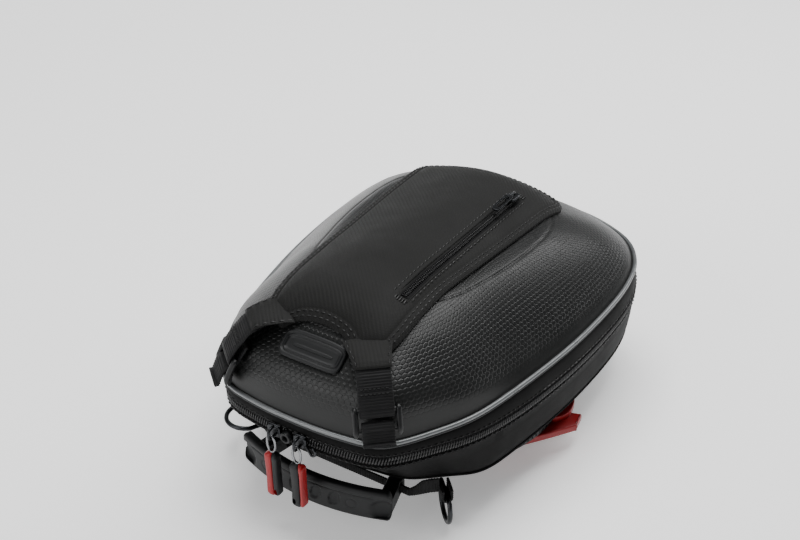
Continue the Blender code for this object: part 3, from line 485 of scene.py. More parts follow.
def coated_wall():
    """Smooth coated cloth over foam: deep black, very fine grain."""
    mat, tree, shader, place = finish_base("coated_polyester_wall", "fabric", "#030303", "#060606",
                                           40.0, (0.55, 0.68), Specular_IOR_Level=0.08)
    thread_mm = 0.8
    weave = add(tree, "TexVoronoi", {"Vector": place, "Scale": 1.0 / (thread_mm * MM)}).outputs["Distance"]
    raise_grain(tree, shader, weave, 0.08, 0.35)
    return mat


def lining_cloth():
    """Plain woven lining: dark grey, matt, a soft cross weave."""
    mat, tree, shader, place = finish_base("plain_woven_lining", "fabric", "#1c1d1e", "#262728",
                                           25.0, (0.75, 0.88), Specular_IOR_Level=0.2,
                                           Sheen_Weight=0.06, Sheen_Roughness=0.6)
    thread_mm = 1.2
    for direction in ("X", "Y"):
        wave = add(tree, "TexWave", {"Vector": place, "Scale": wave_scale(thread_mm * MM)},
                   wave_type="BANDS", bands_direction=direction)
        under = shader.inputs["Normal"].links[0].from_socket if shader.inputs["Normal"].links else None
        raise_grain(tree, shader, wave.outputs["Fac"], 0.15, 0.4, under)
    return mat


def polyester_webbing():
    """Woven strap: black yarn with a dry sheen, over ribs that are modelled."""
    mat, tree, shader, place = finish_base("woven_polyester_webbing", "webbing", "#0a0a0b", "#111112",
                                           12.0, (0.62, 0.76), Specular_IOR_Level=0.25,
                                           Sheen_Weight=0.06, Sheen_Roughness=0.4)
    yarn_mm = 0.7
    yarn = add(tree, "TexNoise", {"Vector": place, "Scale": 1.0 / (yarn_mm * MM), "Detail": 3.0})
    raise_grain(tree, shader, yarn.outputs["Fac"], 0.22, 0.55)
    return mat


def reflective_tape():
    """Glass-bead reflective tape: silver grey, with a low even sparkle."""
    mat, tree, shader, place = finish_base("glass_bead_reflective_tape", "reflective", "#5d5f60", "#7d7f80",
                                           9.0, (0.26, 0.4), Metallic=0.5)
    bead_mm = 0.5     # beads are far finer; drawn this coarse to be seen
    beads = add(tree, "TexVoronoi", {"Vector": place, "Scale": 1.0 / (bead_mm * MM)}).outputs["Distance"]
    raise_grain(tree, shader, beads, 0.05, 0.3)
    return mat


def grey_welt():
    """Edge of the tape folded under the bead: darker, duller grey."""
    mat, tree, shader, place = finish_base("folded_tape_welt", "reflective", "#222324", "#343536",
                                           8.0, (0.5, 0.62), Specular_IOR_Level=0.3)
    yarn = add(tree, "TexNoise", {"Vector": place, "Scale": 1200.0, "Detail": 2.0})
    raise_grain(tree, shader, yarn.outputs["Fac"], 0.1, 0.4)
    return mat


def nylon_coil():
    """Nylon monofilament coil: black with small glints along each turn."""
    mat, tree, shader, place = finish_base("nylon_monofilament", "coil", "#0b0b0c", "#131314",
                                           5.0, (0.3, 0.42), Specular_IOR_Level=0.42)
    grain = add(tree, "TexNoise", {"Vector": place, "Scale": 2200.0, "Detail": 1.0})
    raise_grain(tree, shader, grain.outputs["Fac"], 0.03, 0.3)
    return mat


def woven_tape():
    """Zip tape: tight black weave, quite matt."""
    mat, tree, shader, place = finish_base("woven_zip_tape", "coil", "#060607", "#0c0c0d", 8.0, (0.7, 0.84),
                                           Specular_IOR_Level=0.15)
    yarn = add(tree, "TexWave", {"Vector": place, "Scale": wave_scale(0.9 * MM), "Distortion": 2.0},
               wave_type="BANDS", bands_direction="DIAGONAL")
    raise_grain(tree, shader, yarn.outputs["Fac"], 0.12, 0.5)
    return mat


def moulded_rubber():
    """Injection-moulded rubber: even dark grey, soft highlight, eroded-mould grain."""
    mat, tree, shader, place = finish_base("moulded_rubber", "rubber", "#0e0f10", "#151617",
                                           18.0, (0.46, 0.58), Specular_IOR_Level=0.32)
    grain = add(tree, "TexNoise", {"Vector": place, "Scale": 1400.0, "Detail": 2.0})
    raise_grain(tree, shader, grain.outputs["Fac"], 0.05, 0.35)
    return mat


def moulded_nylon():
    """Glass-filled nylon: black, slightly blotchy gloss, fine spark-eroded texture."""
    mat, tree, shader, place = finish_base("glass_filled_nylon", "plastic", "#0a0b0c", "#111213",
                                           14.0, (0.36, 0.5), Specular_IOR_Level=0.35)
    spark_mm = 0.6
    grain = add(tree, "TexVoronoi", {"Vector": place, "Scale": 1.0 / (spark_mm * MM)}).outputs["Distance"]
    raise_grain(tree, shader, grain, 0.05, 0.35)
    return mat


def zinc_casting():
    """Die-cast zinc plated dark nickel: gunmetal sheen with faint wear."""
    mat, tree, shader, place = finish_base("dark_nickel_plated_zinc", "gunmetal", "#2b2c2e", "#424345",
                                           4.0, (0.24, 0.38), Metallic=1.0)
    grain = add(tree, "TexNoise", {"Vector": place, "Scale": 700.0, "Detail": 3.0})
    raise_grain(tree, shader, grain.outputs["Fac"], 0.02, 0.3)
    return mat


def drawn_steel():
    """Drawn steel wire: mid grey and shiny, with faint lines along it."""
    mat, tree, shader, place = finish_base("drawn_stainless_wire", "steel", "#77787a", "#929395",
                                           3.0, (0.16, 0.26), Metallic=1.0)
    lines = add(tree, "TexNoise", {"Vector": place, "Scale": 2500.0, "Detail": 1.0})
    raise_grain(tree, shader, lines.outputs["Fac"], 0.01, 0.3)
    return mat


def pressed_steel():
    """Rolled and pressed steel plate, passivated: mid grey with rolling drift."""
    mat, tree, shader, place = finish_base("passivated_steel_plate", "gunmetal", "#77797b", "#8f9193",
                                           16.0, (0.34, 0.5), Metallic=1.0)
    stretched = add(tree, "Mapping", {"Vector": place, "Scale": (1.0, 0.06, 1.0)})
    rolled = add(tree, "TexNoise", {"Vector": stretched.outputs[0], "Scale": 1600.0, "Detail": 2.0})
    raise_grain(tree, shader, rolled.outputs["Fac"], 0.02, 0.4)
    return mat


def red_moulding(name="pigmented_red_acetal", slot="red_plastic", dark="#7e090d", light="#930d12"):
    """Self-coloured red plastic: clean gloss with a slight moulding ripple."""
    mat, tree, shader, place = finish_base(name, slot, dark, light, 16.0, (0.3, 0.42), Specular_IOR_Level=0.4)
    ripple = add(tree, "TexNoise", {"Vector": place, "Scale": 180.0, "Detail": 2.0})
    raise_grain(tree, shader, ripple.outputs["Fac"], 0.06, 0.25)
    return mat


def window_film():
    """Clear flexible film: glossy, faintly grey, slightly rippled."""
    mat, tree, shader, place = finish_base("clear_flexible_film", "clear_film", "#9aa1a4", "#a8afb2",
                                           30.0, (0.06, 0.12), Alpha=0.45)
    ripple = add(tree, "TexNoise", {"Vector": place, "Scale": 60.0, "Detail": 1.0})
    raise_grain(tree, shader, ripple.outputs["Fac"], 0.4, 0.2)
    return mat


def sewing_thread(name="bonded_nylon_thread", dark="#0d0d0d", light="#151515"):
    """Bonded nylon thread: twisted, slightly glossy."""
    mat, tree, shader, place = finish_base(name, "fabric", dark, light, 2.0, (0.42, 0.56))
    twist = add(tree, "TexWave", {"Vector": place, "Scale": wave_scale(0.6 * MM)},
                wave_type="BANDS", bands_direction="DIAGONAL")
    raise_grain(tree, shader, twist.outputs["Fac"], 0.08, 0.5)
    return mat


FILM = embossed_film()
RIBBED = ribbed_polyester()
WALL = coated_wall()
LINING = lining_cloth()
WEB = polyester_webbing()
SILVER = reflective_tape()
WELT = grey_welt()
COIL = nylon_coil()
TAPE = woven_tape()
RUBBER = moulded_rubber()
NYLON = moulded_nylon()
ZINC = zinc_casting()
WIRE = drawn_steel()
PLATE = pressed_steel()
RED = red_moulding()
PANE = window_film()
THREAD = sewing_thread()


# ---- lid ------------------------------------------------------------------------
def shell_moulding():
    """The pressed foam lid: hexagons fade out towards the pressed-flat rim."""
    scales = [1.0, 0.994, 0.988, 0.981, 0.974, 0.966, 0.956]
    scales += [0.944 - 0.0115 * k for k in range(31)] + [0.590 - 0.004 * k for k in range(8)]
    scales += [0.552 - 0.0115 * k for k in range(5)]
    scales += [0.47, 0.4, 0.32, 0.24, 0.16, 0.08]
    crease_at = 0.575
    outer, pattern, depth = [], [], [0.0] * AROUND
    for row, scale in enumerate(scales):
        loop, marks = [], []
        for i, point in enumerate(OUTLINE):
            x, y = point.x * scale, CENTRE_Y + (point.y - CENTRE_Y) * scale
            crease = math.exp(-((scale - crease_at) / 0.008) ** 2) * smoothstep(-100.0, -60.0, y)
            spot = lid_point(x, y, -0.5 * crease) if crease > 0.01 else lid_point(x, y)
            if row == 0:
                spot.z = SEAM_Z + 0.5 * PIPING_R
            else:
                depth[i] += (spot - outer[-1][i]).length
            turn = i if i <= AROUND // 2 else i - AROUND
            along = 0.84 * ROUND_LENGTH * turn / AROUND
            front = smoothstep(40.0, 120.0, -point.y)
            flat = 9.0 + 9.0 * front
            marks.append((along, depth[i], smoothstep(0.55 * flat, 0.55 * flat + 9.0, depth[i])))
            loop.append(spot)
        outer.append(loop)
        pattern.append(marks)
    inner = [rim(-SHELL_WALL, SEAM_Z + 0.5 * PIPING_R)]
    for scale in (0.95, 0.92, 0.88, 0.82, 0.76, 0.7, 0.64, 0.56, 0.45, 0.3, 0.12):
        inner.append([lid_point(p.x * scale, CENTRE_Y + (p.y - CENTRE_Y) * scale, -SHELL_WALL)
                      for p in OUTLINE])
    work = Work()
    plain = [[(0.0, 0.0, 0.0)] * AROUND for _ in inner]
    work.skin(list(reversed(inner)) + outer, pattern=plain + pattern)
    for number in range(AROUND * (len(inner) - 1)):
        work.finishes[number] = 1
    work.finishes[-2] = 1
    shell = fit("shell_moulding", work, [FILM, LINING], "lid", ["upper_shell"])


def piping_bead():
    """A bright corded bead over the narrower folded edge of its own tape."""
    work = Work()
    for radius, out, rise, finish in ((1.45, 0.9, 0.6, 0), (0.95, 0.9, -1.6, 1)):
        loops = []
        for k in range(14):
            angle = 2.0 * math.pi * k / 14
            loops.append(rim(out + radius * math.cos(angle), SEAM_Z + rise + radius * math.sin(angle)))
        work.skin(loops, closed=True, finish=finish)
    fit("piping_bead", work, [SILVER, WELT], "lid", ["piping"], sharp=80.0)


def band_and_zip():
    """Smooth band under the piping, zip tapes, coils and the thread beside them."""
    top = SEAM_Z - PIPING_R + 0.2

    def foot(y):
        """Bottom edge of the band, just over the zip."""
        return zip_z(y) + COIL_HEIGHT + GAP

    work = Work()
    section = []
    for share, swell in ((0.0, -0.4), (0.06, 0.25), (0.3, 0.75), (0.6, 0.85), (0.85, 0.6), (0.97, 0.3),
                         (1.0, -0.4)):
        section.append((lambda y, s=share, w=swell: zip_bulge(y) * s + 0.4 + w,
                        lambda y, s=share: top + (foot(y) - top) * s))
    for share in (1.0, 0.0):
        section.append((lambda y, s=share: zip_bulge(y) * s + 0.4 - BAND_WALL,
                        lambda y, s=share: top + (foot(y) - top) * s))
    work.skin([rim(push, height) for push, height in section], closed=True)
    line = rim(lambda y: zip_bulge(y) * 0.86 + 1.0, lambda y: foot(y) + 1.6)
    ups = [outward(OUTLINE, i).to_3d() for i in range(AROUND)]
    work.stitches(line, ups, closed=True, finish=1)
    fit("band_cloth", work, [WALL, THREAD], "lid", ["upper_band"])

    stations = rounded(WHOLE_OUTLINE, int(ROUND_LENGTH / TOOTH_PITCH))
    for name, body, node, way in (("zip_half_upper", "lid", "zip_coil_upper", 1.0),
                                  ("zip_half_lower", "tray", "zip_coil_lower", -1.0)):
        work = Work()
        profile = [(-0.9, 0.12), (-0.25, 0.2), (-0.1, 0.7), (-0.1, 2.3), (0.35, 2.6), (0.45, 3.1),
                   (-1.8, 3.1), (-2.2, 0.2)]
        work.skin([rim(lambda y, p=push: zip_bulge(y) + p, lambda y, r=rise: zip_z(y) + way * r)
                   for push, rise in profile], closed=True, finish=0)
        for i, point in enumerate(stations):
            normal = outward(stations, i)
            tangent = Vector((-normal.y, normal.x))
            path = []
            for push, rise in ((-0.5, -0.15), (0.3, 0.0), (0.5, 0.7), (0.5, 1.8), (0.25, 2.5), (-0.3, 2.7)):
                spot = point + tangent * TOOTH_SLANT * way * rise + normal * (zip_bulge(point.y) + push)
                path.append((spot.x, spot.y, zip_z(point.y) + way * rise))
            work.rod(path, [0.35, 0.5, 0.55, 0.55, 0.5, 0.3], 5, finish=1)
        fit(name, work, [TAPE, COIL], body, [node], sharp=60.0)


def rubber_patch():
    """Stepped rubber patch with a blank face; it is sewn round its border, but no thread is drawn."""
    half_x, half_y, centre_y = 21.8, 7.6, -127.2
    steps = [(0.0, 0.35), (0.0, 1.4), (0.5, 2.0), (1.1, 2.15), (1.7, 2.0), (2.0, 1.5), (2.3, 1.35),
             (2.7, 1.75), (3.2, 1.8), (3.6, 1.3), (3.9, 1.0), (5.0, 0.95)]
    loops = []
    for inset, lift in steps:
        loops.append([lid_point(x, y, lift) for x, y in
                      oval(half_x - inset, half_y - inset, 72, 0.36, (0.0, centre_y))])
    for share in (0.6, 0.2):
        loops.append([lid_point(x, y, 0.95) for x, y in
                      oval((half_x - 5.0) * share, (half_y - 5.0) * share, 72, 0.36, (0.0, centre_y))])
    work = Work()
    work.skin(loops)
    bar = []
    for lift, inset in ((0.9, 0.0), (1.35, 0.0), (1.5, 0.25)):
        bar.append([lid_point(x, y, lift) for x, y in
                    oval(14.0 - inset, 0.8 - inset, 40, 0.5, (0.0, centre_y))])
    work.skin(bar)
    fit("rubber_patch", work, RUBBER, "lid", ["badge_patch"], sharp=50.0)


def window():
    """Frame of sewn binding round a clear pane, under the cover panel."""
    corners = (-34.0, -72.0, 34.0, 44.0)
    centre = ((corners[0] + corners[2]) / 2, (corners[1] + corners[3]) / 2)
    half = ((corners[2] - corners[0]) / 2, (corners[3] - corners[1]) / 2)
    loops = []
    for inset, lift in ((0.0, 0.5), (0.0, 1.1), (0.5, 1.6), (2.5, 1.75), (4.5, 1.6), (5.0, 1.1), (5.0, 0.5)):
        loops.append([lid_point(x, y, lift) for x, y in
                      oval(half[0] - inset, half[1] - inset, 96, 0.22, centre)])
    work = Work()
    work.skin(loops, closed=True)
    line = oval(half[0] - 2.5, half[1] - 2.5, 160, 0.22, centre)
    work.stitches([lid_point(x, y, 1.75) for x, y in line], [lid_normal(x, y) for x, y in line],
                  closed=True, finish=1)
    fit("window_binding", work, [TAPE, THREAD], "lid", ["window_frame"])
    work = Work()
    loops = []
    for lift, shares in ((0.7, (0.05, 0.3, 0.55, 0.8, 1.0)), (1.2, (1.0, 0.8, 0.55, 0.3, 0.05))):
        for share in shares:
            loops.append([lid_point(x, y, lift) for x, y in
                          oval((half[0] - 5.2) * share, (half[1] - 5.2) * share, 72, 0.22, centre)])
    work.skin(loops)
    fit("window_pane_film", work, PANE, "lid", ["window_pane"])


# ---- cover panel ----------------------------------------------------------------
STRAP_TOP = (34.5, -119.0)
STRAP_FOOT = (53.5, -141.0)
BUCKLE_LIFT = (4.6, 7.8)
PANEL_RIGHT = [(16.0, -116.0), (22.0, -119.0), (27.0, -121.5), (35.5, -117.0), (43.0, -112.0),
               (45.5, -100.0), (45.8, -76.0), (46.5, -53.0), (49.0, -16.0), (52.0, 25.0),
               (54.5, 74.0), (54.0, 87.0), (46.0, 97.0), (30.0, 102.0), (12.0, 103.0)]
PANEL_CENTRE_Y = -15.0
POCKET_FRONT = (31.0, -78.0)
POCKET_REAR = (30.0, 66.0)
POCKET_SLIDER_SHARE = 0.94
PANEL_TOP = PANEL_LIFT + PANEL_THICK
POCKET_ZIP_THICK = 1.6


def panel_edge(count):
    """Outline of the cover panel in plan, with its arched front edge."""
    half = [(0.0, -114.0), (9.0, -114.6)] + PANEL_RIGHT
    return rounded(half + [(0.0, 103.0)] + [(-x, y) for x, y in half[:0:-1]], count)


def pocket_plan(share, aside=0.0):
    """Plan point along the pocket zip: share 0 is its front end, 1 its rear end."""
    return (POCKET_FRONT[0] + (POCKET_REAR[0] - POCKET_FRONT[0]) * share + aside,
            POCKET_FRONT[1] + (POCKET_REAR[1] - POCKET_FRONT[1]) * share)


def near_pocket(x, y):
    """Distance across from the pocket zip's line, and the share along it."""
    share = (y - POCKET_FRONT[1]) / (POCKET_REAR[1] - POCKET_FRONT[1])
    return x - pocket_plan(share)[0], share


def panel_relief(x, y, inset):
    """Height of the padded cloth over its base: hem, seam dip, pocket and soft waves."""
    hem = smoothstep(0.0, 1.4, inset)
    seam = math.exp(-((inset - 6.2) / 0.9) ** 2)
    padding = smoothstep(6.0, 26.0, inset)
    broad = noise.noise(Vector((x * 0.035, y * 0.02, 4.0))) * 0.9
    fine = noise.noise(Vector((x, y, 9.0)) * 0.09) * 0.3
    across, share = near_pocket(x, y)
    ends = smoothstep(-0.05, 0.0, share) * (1.0 - smoothstep(1.0, 1.05, share))
    pocket = math.exp(-(across / 3.6) ** 4) * ends
    lip = math.exp(-((across + 5.0) / 1.6) ** 2) * ends
    cloth = -1.0 + hem - 0.45 * seam + padding * (0.5 + (broad + fine))
    return cloth * (1.0 - 0.6 * pocket) - 0.9 * pocket + 0.5 * lip


def cover_cloth():
    """Ribbed cloth panel: folded hem, two rows of thread and a gently padded middle."""
    count = 300
    edge = panel_edge(count)
    normals = [outward(edge, i) for i in range(count)]
    centre = Vector((0.0, PANEL_CENTRE_Y))
    insets = [0.0, 0.25, 0.7, 1.4, 2.6, 4.0, 5.2, 5.8, 6.2, 6.6, 7.3]
    rows = [(inset, [p - n * inset for p, n in zip(edge, normals)]) for inset in insets]
    last = rows[-1][1]
    for k in range(1, 27):
        share = 1.0 - (k / 26.5)
        loop = [centre + (p - centre) * share for p in last]
        rows.append((7.3 + 40.0 * (1.0 - share), loop))
    top, bottom = [], []
    for inset, loop in rows:
        tuck = 1.3 * (1.0 - smoothstep(0.0, 14.0, inset))
        top.append([lid_point(p.x, p.y, PANEL_TOP - tuck + panel_relief(p.x, p.y, inset)) for p in loop])
    for inset, loop in rows[::3]:
        tuck = 1.5 * (1.0 - smoothstep(0.0, 14.0, inset))
        bottom.append([lid_point(p.x, p.y, PANEL_LIFT - tuck - 0.2) for p in loop])
    work = Work()
    work.skin(list(reversed(bottom)) + top)
    for row in (2.2, 4.8):
        line = [p - n * row for p, n in zip(edge, normals)]
        lift = PANEL_TOP - 1.3 * (1.0 - smoothstep(0.0, 14.0, row))
        spots = [lid_point(p.x, p.y, lift + panel_relief(p.x, p.y, row)) for p in line]
        work.stitches(spots, [lid_normal(p.x, p.y) for p in line], closed=True, finish=1)
    panel = fit("cover_cloth", work, [RIBBED, THREAD], "cover", ["cover_panel"], sharp=70.0)


def pocket_point(share, lift, aside=0.0):
    """Point over the lid along the pocket zip."""
    return lid_point(*pocket_plan(share, aside), lift)


def pocket_zip():
    """Coil zip in a slit with a rolled upper lip, bar tacks at both ends."""
    base = PANEL_TOP - 0.6
    shares = [k / 40.0 for k in range(41)]
    work = Work()
    tape = []
    for share in shares:
        tape.append([pocket_point(share, base + lift, aside) for aside, lift in
                     ((-3.6, -0.5), (3.6, -0.5), (3.6, 0.35), (1.6, 0.3), (-1.6, 0.3), (-3.6, 0.35))])
    work.skin(tape, finish=0)
    teeth = int((Vector(POCKET_REAR) - Vector(POCKET_FRONT)).length / 1.6)
    for k in range(teeth):
        share = (k + 0.5) / teeth
        for way in (-1.0, 1.0):
            path = [pocket_point(share + 0.002 * way, base + 0.3 + rise, way * aside)
                    for aside, rise in ((0.05, 0.5), (0.7, 0.75), (1.5, 0.5), (1.8, 0.1))]
            work.rod(path, [0.35, 0.48, 0.46, 0.25], 5, finish=1)
    for aside, radius, lift in ((-4.3, 1.0, 0.75), (4.2, 0.55, 0.55)):
        lip = [pocket_point(-0.02 + 1.04 * share, base + lift, aside) for share in shares]
        work.rod(lip, [radius * min(1.0, 0.3 + 6.0 * min(s, 1.0 - s)) for s in shares], 10, finish=2)
    normals = [lid_normal(*pocket_plan(share, 6.2)) for share in shares]
    for aside in (-6.6, 5.9):
        spots = []
        for share in shares:
            x, y = pocket_plan(share, aside)
            spots.append(lid_point(x, y, PANEL_TOP + panel_relief(x, y, 40.0)))
        work.stitches(spots, normals, finish=3)
    for share in (-0.022, 1.022):
        for k in range(5):
            aside = -3.2 + 1.6 * k
            path = [pocket_point(share + step, base + 0.9 + rise, aside)
                    for step, rise in ((-0.012, 0.0), (-0.006, 0.45), (0.006, 0.45), (0.012, 0.0))]
            work.rod(path, 0.4, 5, finish=3)
    fit("pocket_zip_chain", work, [TAPE, COIL, RIBBED, THREAD], "cover", ["pocket_zip"], sharp=60.0)


def pocket_slider():
    """Small cast slider with a bridge, and its flat pull with a slot."""
    lift = PANEL_TOP + GAP + POCKET_ZIP_THICK + 2 * GAP
    seat = pocket_point(POCKET_SLIDER_SHARE, lift)
    work = Work()
    body = [(-2.4, -5.2), (2.4, -5.2), (3.6, -2.0), (3.7, 3.0), (2.6, 5.4), (-2.6, 5.4), (-3.7, 3.0),
            (-3.6, -2.0)]
    work.slab(rounded(body, 40), 0.6, 3.0, 0.8, lambda x, y, z: seat + Vector((x, y, z)))
    arch = [seat + Vector((0.0, y, z)) for y, z in
            ((-4.2, 2.6), (-4.4, 3.9), (-3.4, 4.7), (0.5, 4.8), (2.6, 4.4), (3.4, 2.7))]
    work.rod(arch, [0.8, 0.9, 0.95, 0.95, 0.9, 0.8], 10)
    fit("pocket_slider_casting", work, ZINC, "pocket_slider", ["pocket_slider"], sharp=50.0)

    work = Work()
    outer = oval(3.2, 11.2, 48, 0.55, (0.0, -13.7))
    slot = oval(1.6, 7.6, 48, 0.55, (0.0, -13.2))
    loops = []
    for line, z in ((outer, 4.5), (outer, 5.6), (slot, 5.6), (slot, 4.5)):
        loops.append([seat + Vector((x, y, z)) for x, y in line])
    work.skin(loops, closed=True)
    work.rod([seat + Vector((x, y, 5.0)) for x, y in ((-1.6, -4.5), (-1.7, -2.9), (0.0, -2.4), (1.7, -2.9),
                                                      (1.6, -4.5))], 0.7, 8)
    bevel_edges(fit("pocket_pull_tab", work, ZINC, "pocket_pull", ["pocket_pull"], sharp=40.0), 0.35)


def bevel_edges(obj, width, segments=2):
    """Softens a hard piece's edges."""
    modifier = obj.modifiers.new("edges", "BEVEL")
    modifier.width = width * MM
    modifier.segments = segments
    modifier.limit_method = "ANGLE"
    modifier.angle_limit = math.radians(40.0)
    modifier.harden_normals = True


# ---- straps and buckles ---------------------------------------------------------
def strap_across(side):
    """Unit direction across a strap's width."""
    run = Vector((side * (STRAP_FOOT[0] - STRAP_TOP[0]), STRAP_FOOT[1] - STRAP_TOP[1]))
    return Vector((-run.y, run.x, 0.0)).normalized()


def strap_normal(side, share):
    """Unit normal of the strap's face; it turns outward as the strap drops."""
    flat = hermite([(0.0, 0.75), (0.5, 0.9), (1.0, 0.97)], share)
    run = Vector((side * (STRAP_FOOT[0] - STRAP_TOP[0]), STRAP_FOOT[1] - STRAP_TOP[1])).normalized()
    return Vector((run.x * flat, run.y * flat, math.sqrt(1 - flat * flat)))


def strap_line(side, share, lift):
    """Point on the strap's middle line: it hangs from the panel's corner to the piping."""
    start = Vector((side * STRAP_TOP[0], STRAP_TOP[1]))
    run = Vector((side * (STRAP_FOOT[0] - STRAP_TOP[0]), STRAP_FOOT[1] - STRAP_TOP[1]))
    spot = start + run * share
    heights = [(-0.3, 45.0), (0.0, 41.5), (0.25, 38.0), (0.5, 31.5), (0.72, 22.5), (0.88, 13.5), (1.0, 4.5)]
    return Vector((spot.x, spot.y, SEAM_Z + hermite(heights, share))) + strap_normal(side, share) * lift


def webbing_run(work, side, route, half_width_mm):
    """Webbing through (share, lift) points of a strap's side view."""
    spots = [strap_line(side, share, lift) for share, lift in route]
    across = strap_across(side)
    ups = []
    for i in range(len(spots)):
        before, after = spots[max(i - 1, 0)], spots[min(i + 1, len(spots) - 1)]
        ups.append(across.cross(after - before).normalized() * side)
    facing = strap_normal(side, route[1][0])
    if ups[1].dot(facing) < 0:
        ups = [-up for up in ups]
    work.ribbon(spots, [across * half_width_mm] * len(spots), ups, WEBBING_THICK)


def panel_leg(side, word):
    """The panel's cloth carried down over the strap's top, narrowing, with a sewn edge each side."""
    leg = Work()
    across = strap_across(side)
    shares = (-0.42, -0.3, -0.15, 0.0, 0.12, 0.2, 0.24)
    lifts = (3.6, 4.6, 6.4, 8.3, 9.6, 9.9, 9.5)
    halves = (15.0, 14.4, 13.4, 12.2, 11.4, 11.2, 11.0)
    spots = [strap_line(side, share, lift) for share, lift in zip(shares, lifts)]
    ups = [strap_normal(side, share) for share in shares]
    leg.ribbon(spots, [across * half for half in halves], ups, 1.5, depth=0.0)
    for way in (-1.0, 1.0):
        edge = [spot + across * way * (half - 1.6) + up * 0.75 for spot, half, up in zip(spots, halves, ups)]
        leg.stitches(edge, ups, finish=1)
    fit("panel_leg_" + word, leg, [RIBBED, THREAD], "cover", sharp=60.0)


def strap(side, word):
    """Cover strap: sewn at the panel's corner, folded round the buckle's upper bar."""
    work = Work()
    route = [(-0.24, 4.4), (-0.1, 5.4), (0.04, 7.2), (0.18, 8.4), (0.35, 8.8), (0.55, 8.9), (0.7, 9.1),
             (0.755, 8.9), (0.79, 8.0), (0.803, 6.4), (0.79, 4.6), (0.755, 3.6), (0.68, 3.2), (0.55, 3.4)]
    webbing_run(work, side, route, WEBBING / 2 - 0.3)
    across = strap_across(side)
    for share in (0.5, 0.56):
        spots = [strap_line(side, share, 8.9 + 0.85) + across * stop for stop in (-8.5, -4.0, 0.0, 4.0, 8.5)]
        work.stitches(spots, [strap_normal(side, share)] * 5, length=1.6, gap=0.8, finish=1)
    fit("strap_webbing_" + word, work, [WEB, THREAD], "cover", ["strap_" + word], sharp=60.0)


def buckle(side, word):
    """Loop buckle: two rounded side bars with bulbous ends and two cross bars."""
    across = strap_across(side)
    low, high = BUCKLE_LIFT
    middle = 0.5 * (low + high) + 0.3
    reach = WEBBING / 2 + 2.2
    work = Work()
    for way in (-1.0, 1.0):
        path, radii = [], []
        for k in range(13):
            share = 0.70 + 0.26 * k / 12
            end = min(k, 12 - k)
            path.append(strap_line(side, share, middle + (0.5 if end > 1 else 0.2)) + across * way * reach)
            radii.append((0.7, 1.6, 1.95, 1.85)[min(end, 3)])
        work.rod(path, radii, 14)
    for share in (0.745, 0.915):
        bar = [strap_line(side, share, middle) + across * reach * stop for stop in
               (-1.0, -0.8, -0.4, 0.0, 0.4, 0.8, 1.0)]
        work.rod(bar, 1.45, 12)
    fit("buckle_moulding_" + word, work, NYLON, "cover", ["buckle_" + word], sharp=60.0)


def strap_stub(side, word):
    """Short webbing loop sewn in under the piping; it holds the buckle's lower bar."""
    work = Work()
    route = [(1.11, 8.4), (1.06, 9.6), (1.0, 9.6), (0.94, 9.4), (0.9, 9.2), (0.865, 8.2), (0.855, 6.6),
             (0.865, 4.9), (0.9, 3.6), (0.96, 3.0), (1.02, 2.6)]
    webbing_run(work, side, route, WEBBING / 2 - 1.0)
    fit("strap_stub_webbing_" + word, work, WEB, "lid", ["strap_stub_" + word], sharp=60.0)


# ---- main zip's sliders ---------------------------------------------------------
SLIDERS = (("left", -14.0), ("right", 5.0))
TRACK_CENTRE_Y = 121.0
BRIDGE_OUT = 5.8
BRIDGE_DROP = 1.0
WIRE_LOOP = (3.0, 6.6)
WIRE_R = 0.75


def slider_seat(x):
    """Point on the outside of the zip chain at x."""
    radius = TRACK_CENTRE_Y - HALF_OUTLINE[0][1]
    y = TRACK_CENTRE_Y - math.sqrt(radius * radius - x * x)
    return Vector((x, y - 0.3 - GAP, zip_z(y)))


def main_slider(word, x):
    """Cast slider, its bridge, grey wire loop and two-colour moulded pull."""
    seat = slider_seat(x)
    work = Work()
    plate = [(-2.2, -4.4), (2.2, -4.4), (4.5, -3.0), (4.7, 0.0), (4.5, 3.0), (2.2, 4.4), (-2.2, 4.4),
             (-4.5, 3.0), (-4.7, 0.0), (-4.5, -3.0)]
    work.slab(rounded(plate, 48), 0.4, 2.7, 0.8, lambda a, b, c: seat + Vector((a, -c, b)))
    for way in (-1.0, 1.0):
        work.rod([seat + Vector((a, -1.2, way * 4.2)) for a in (-4.0, -2.0, 0.0, 2.0, 4.0)],
                 [0.5, 0.85, 0.9, 0.85, 0.5], 8)
    reach = BRIDGE_OUT + 2.2
    arch = [seat + Vector((0.0, -y, z)) for y, z in
            ((2.2, 3.5), (5.0, 3.7), (reach - 1.2, 3.4), (reach - 0.2, 2.2), (reach, 0.0),
             (reach - 0.2, -2.2), (reach - 1.2, -3.4), (5.0, -3.7), (2.2, -3.5))]
    work.rod(arch, 0.95, 10)
    if word == "right":
        hook = []
        for k in range(12):
            angle = math.radians(-150 + 20 * k)
            hook.append(seat + Vector((9.0 + 3.1 * math.cos(angle), -3.2, -3.0 + 3.1 * math.sin(angle))))
        work.rod([seat + Vector((4.4, -2.0, -1.5))] + hook[3:], [0.9] + [0.85] * 8 + [0.5], 8)
    fit("slider_casting_" + word, work, ZINC, "slider_" + word, ["slider_" + word], sharp=50.0)

    hinge = seat + Vector((0.0, -BRIDGE_OUT, -BRIDGE_DROP))
    work = Work()
    ring = []
    for k in range(32):
        angle = 2.0 * math.pi * k / 32
        ring.append(hinge + Vector((WIRE_LOOP[0] * math.sin(angle), 0.0,
                                    WIRE_LOOP[1] * (math.cos(angle) - 1.0))))
    work.rod(ring, WIRE_R, 10, closed=True)
    fit("pull_loop_" + word, work, WIRE, "pull_" + word, ["pull_wire_" + word], sharp=80.0)
    pull_fob(word, hinge)


FOB_LENGTH = 34.5
FOB_HALF = 4.9
FOB_DEEP = 3.0


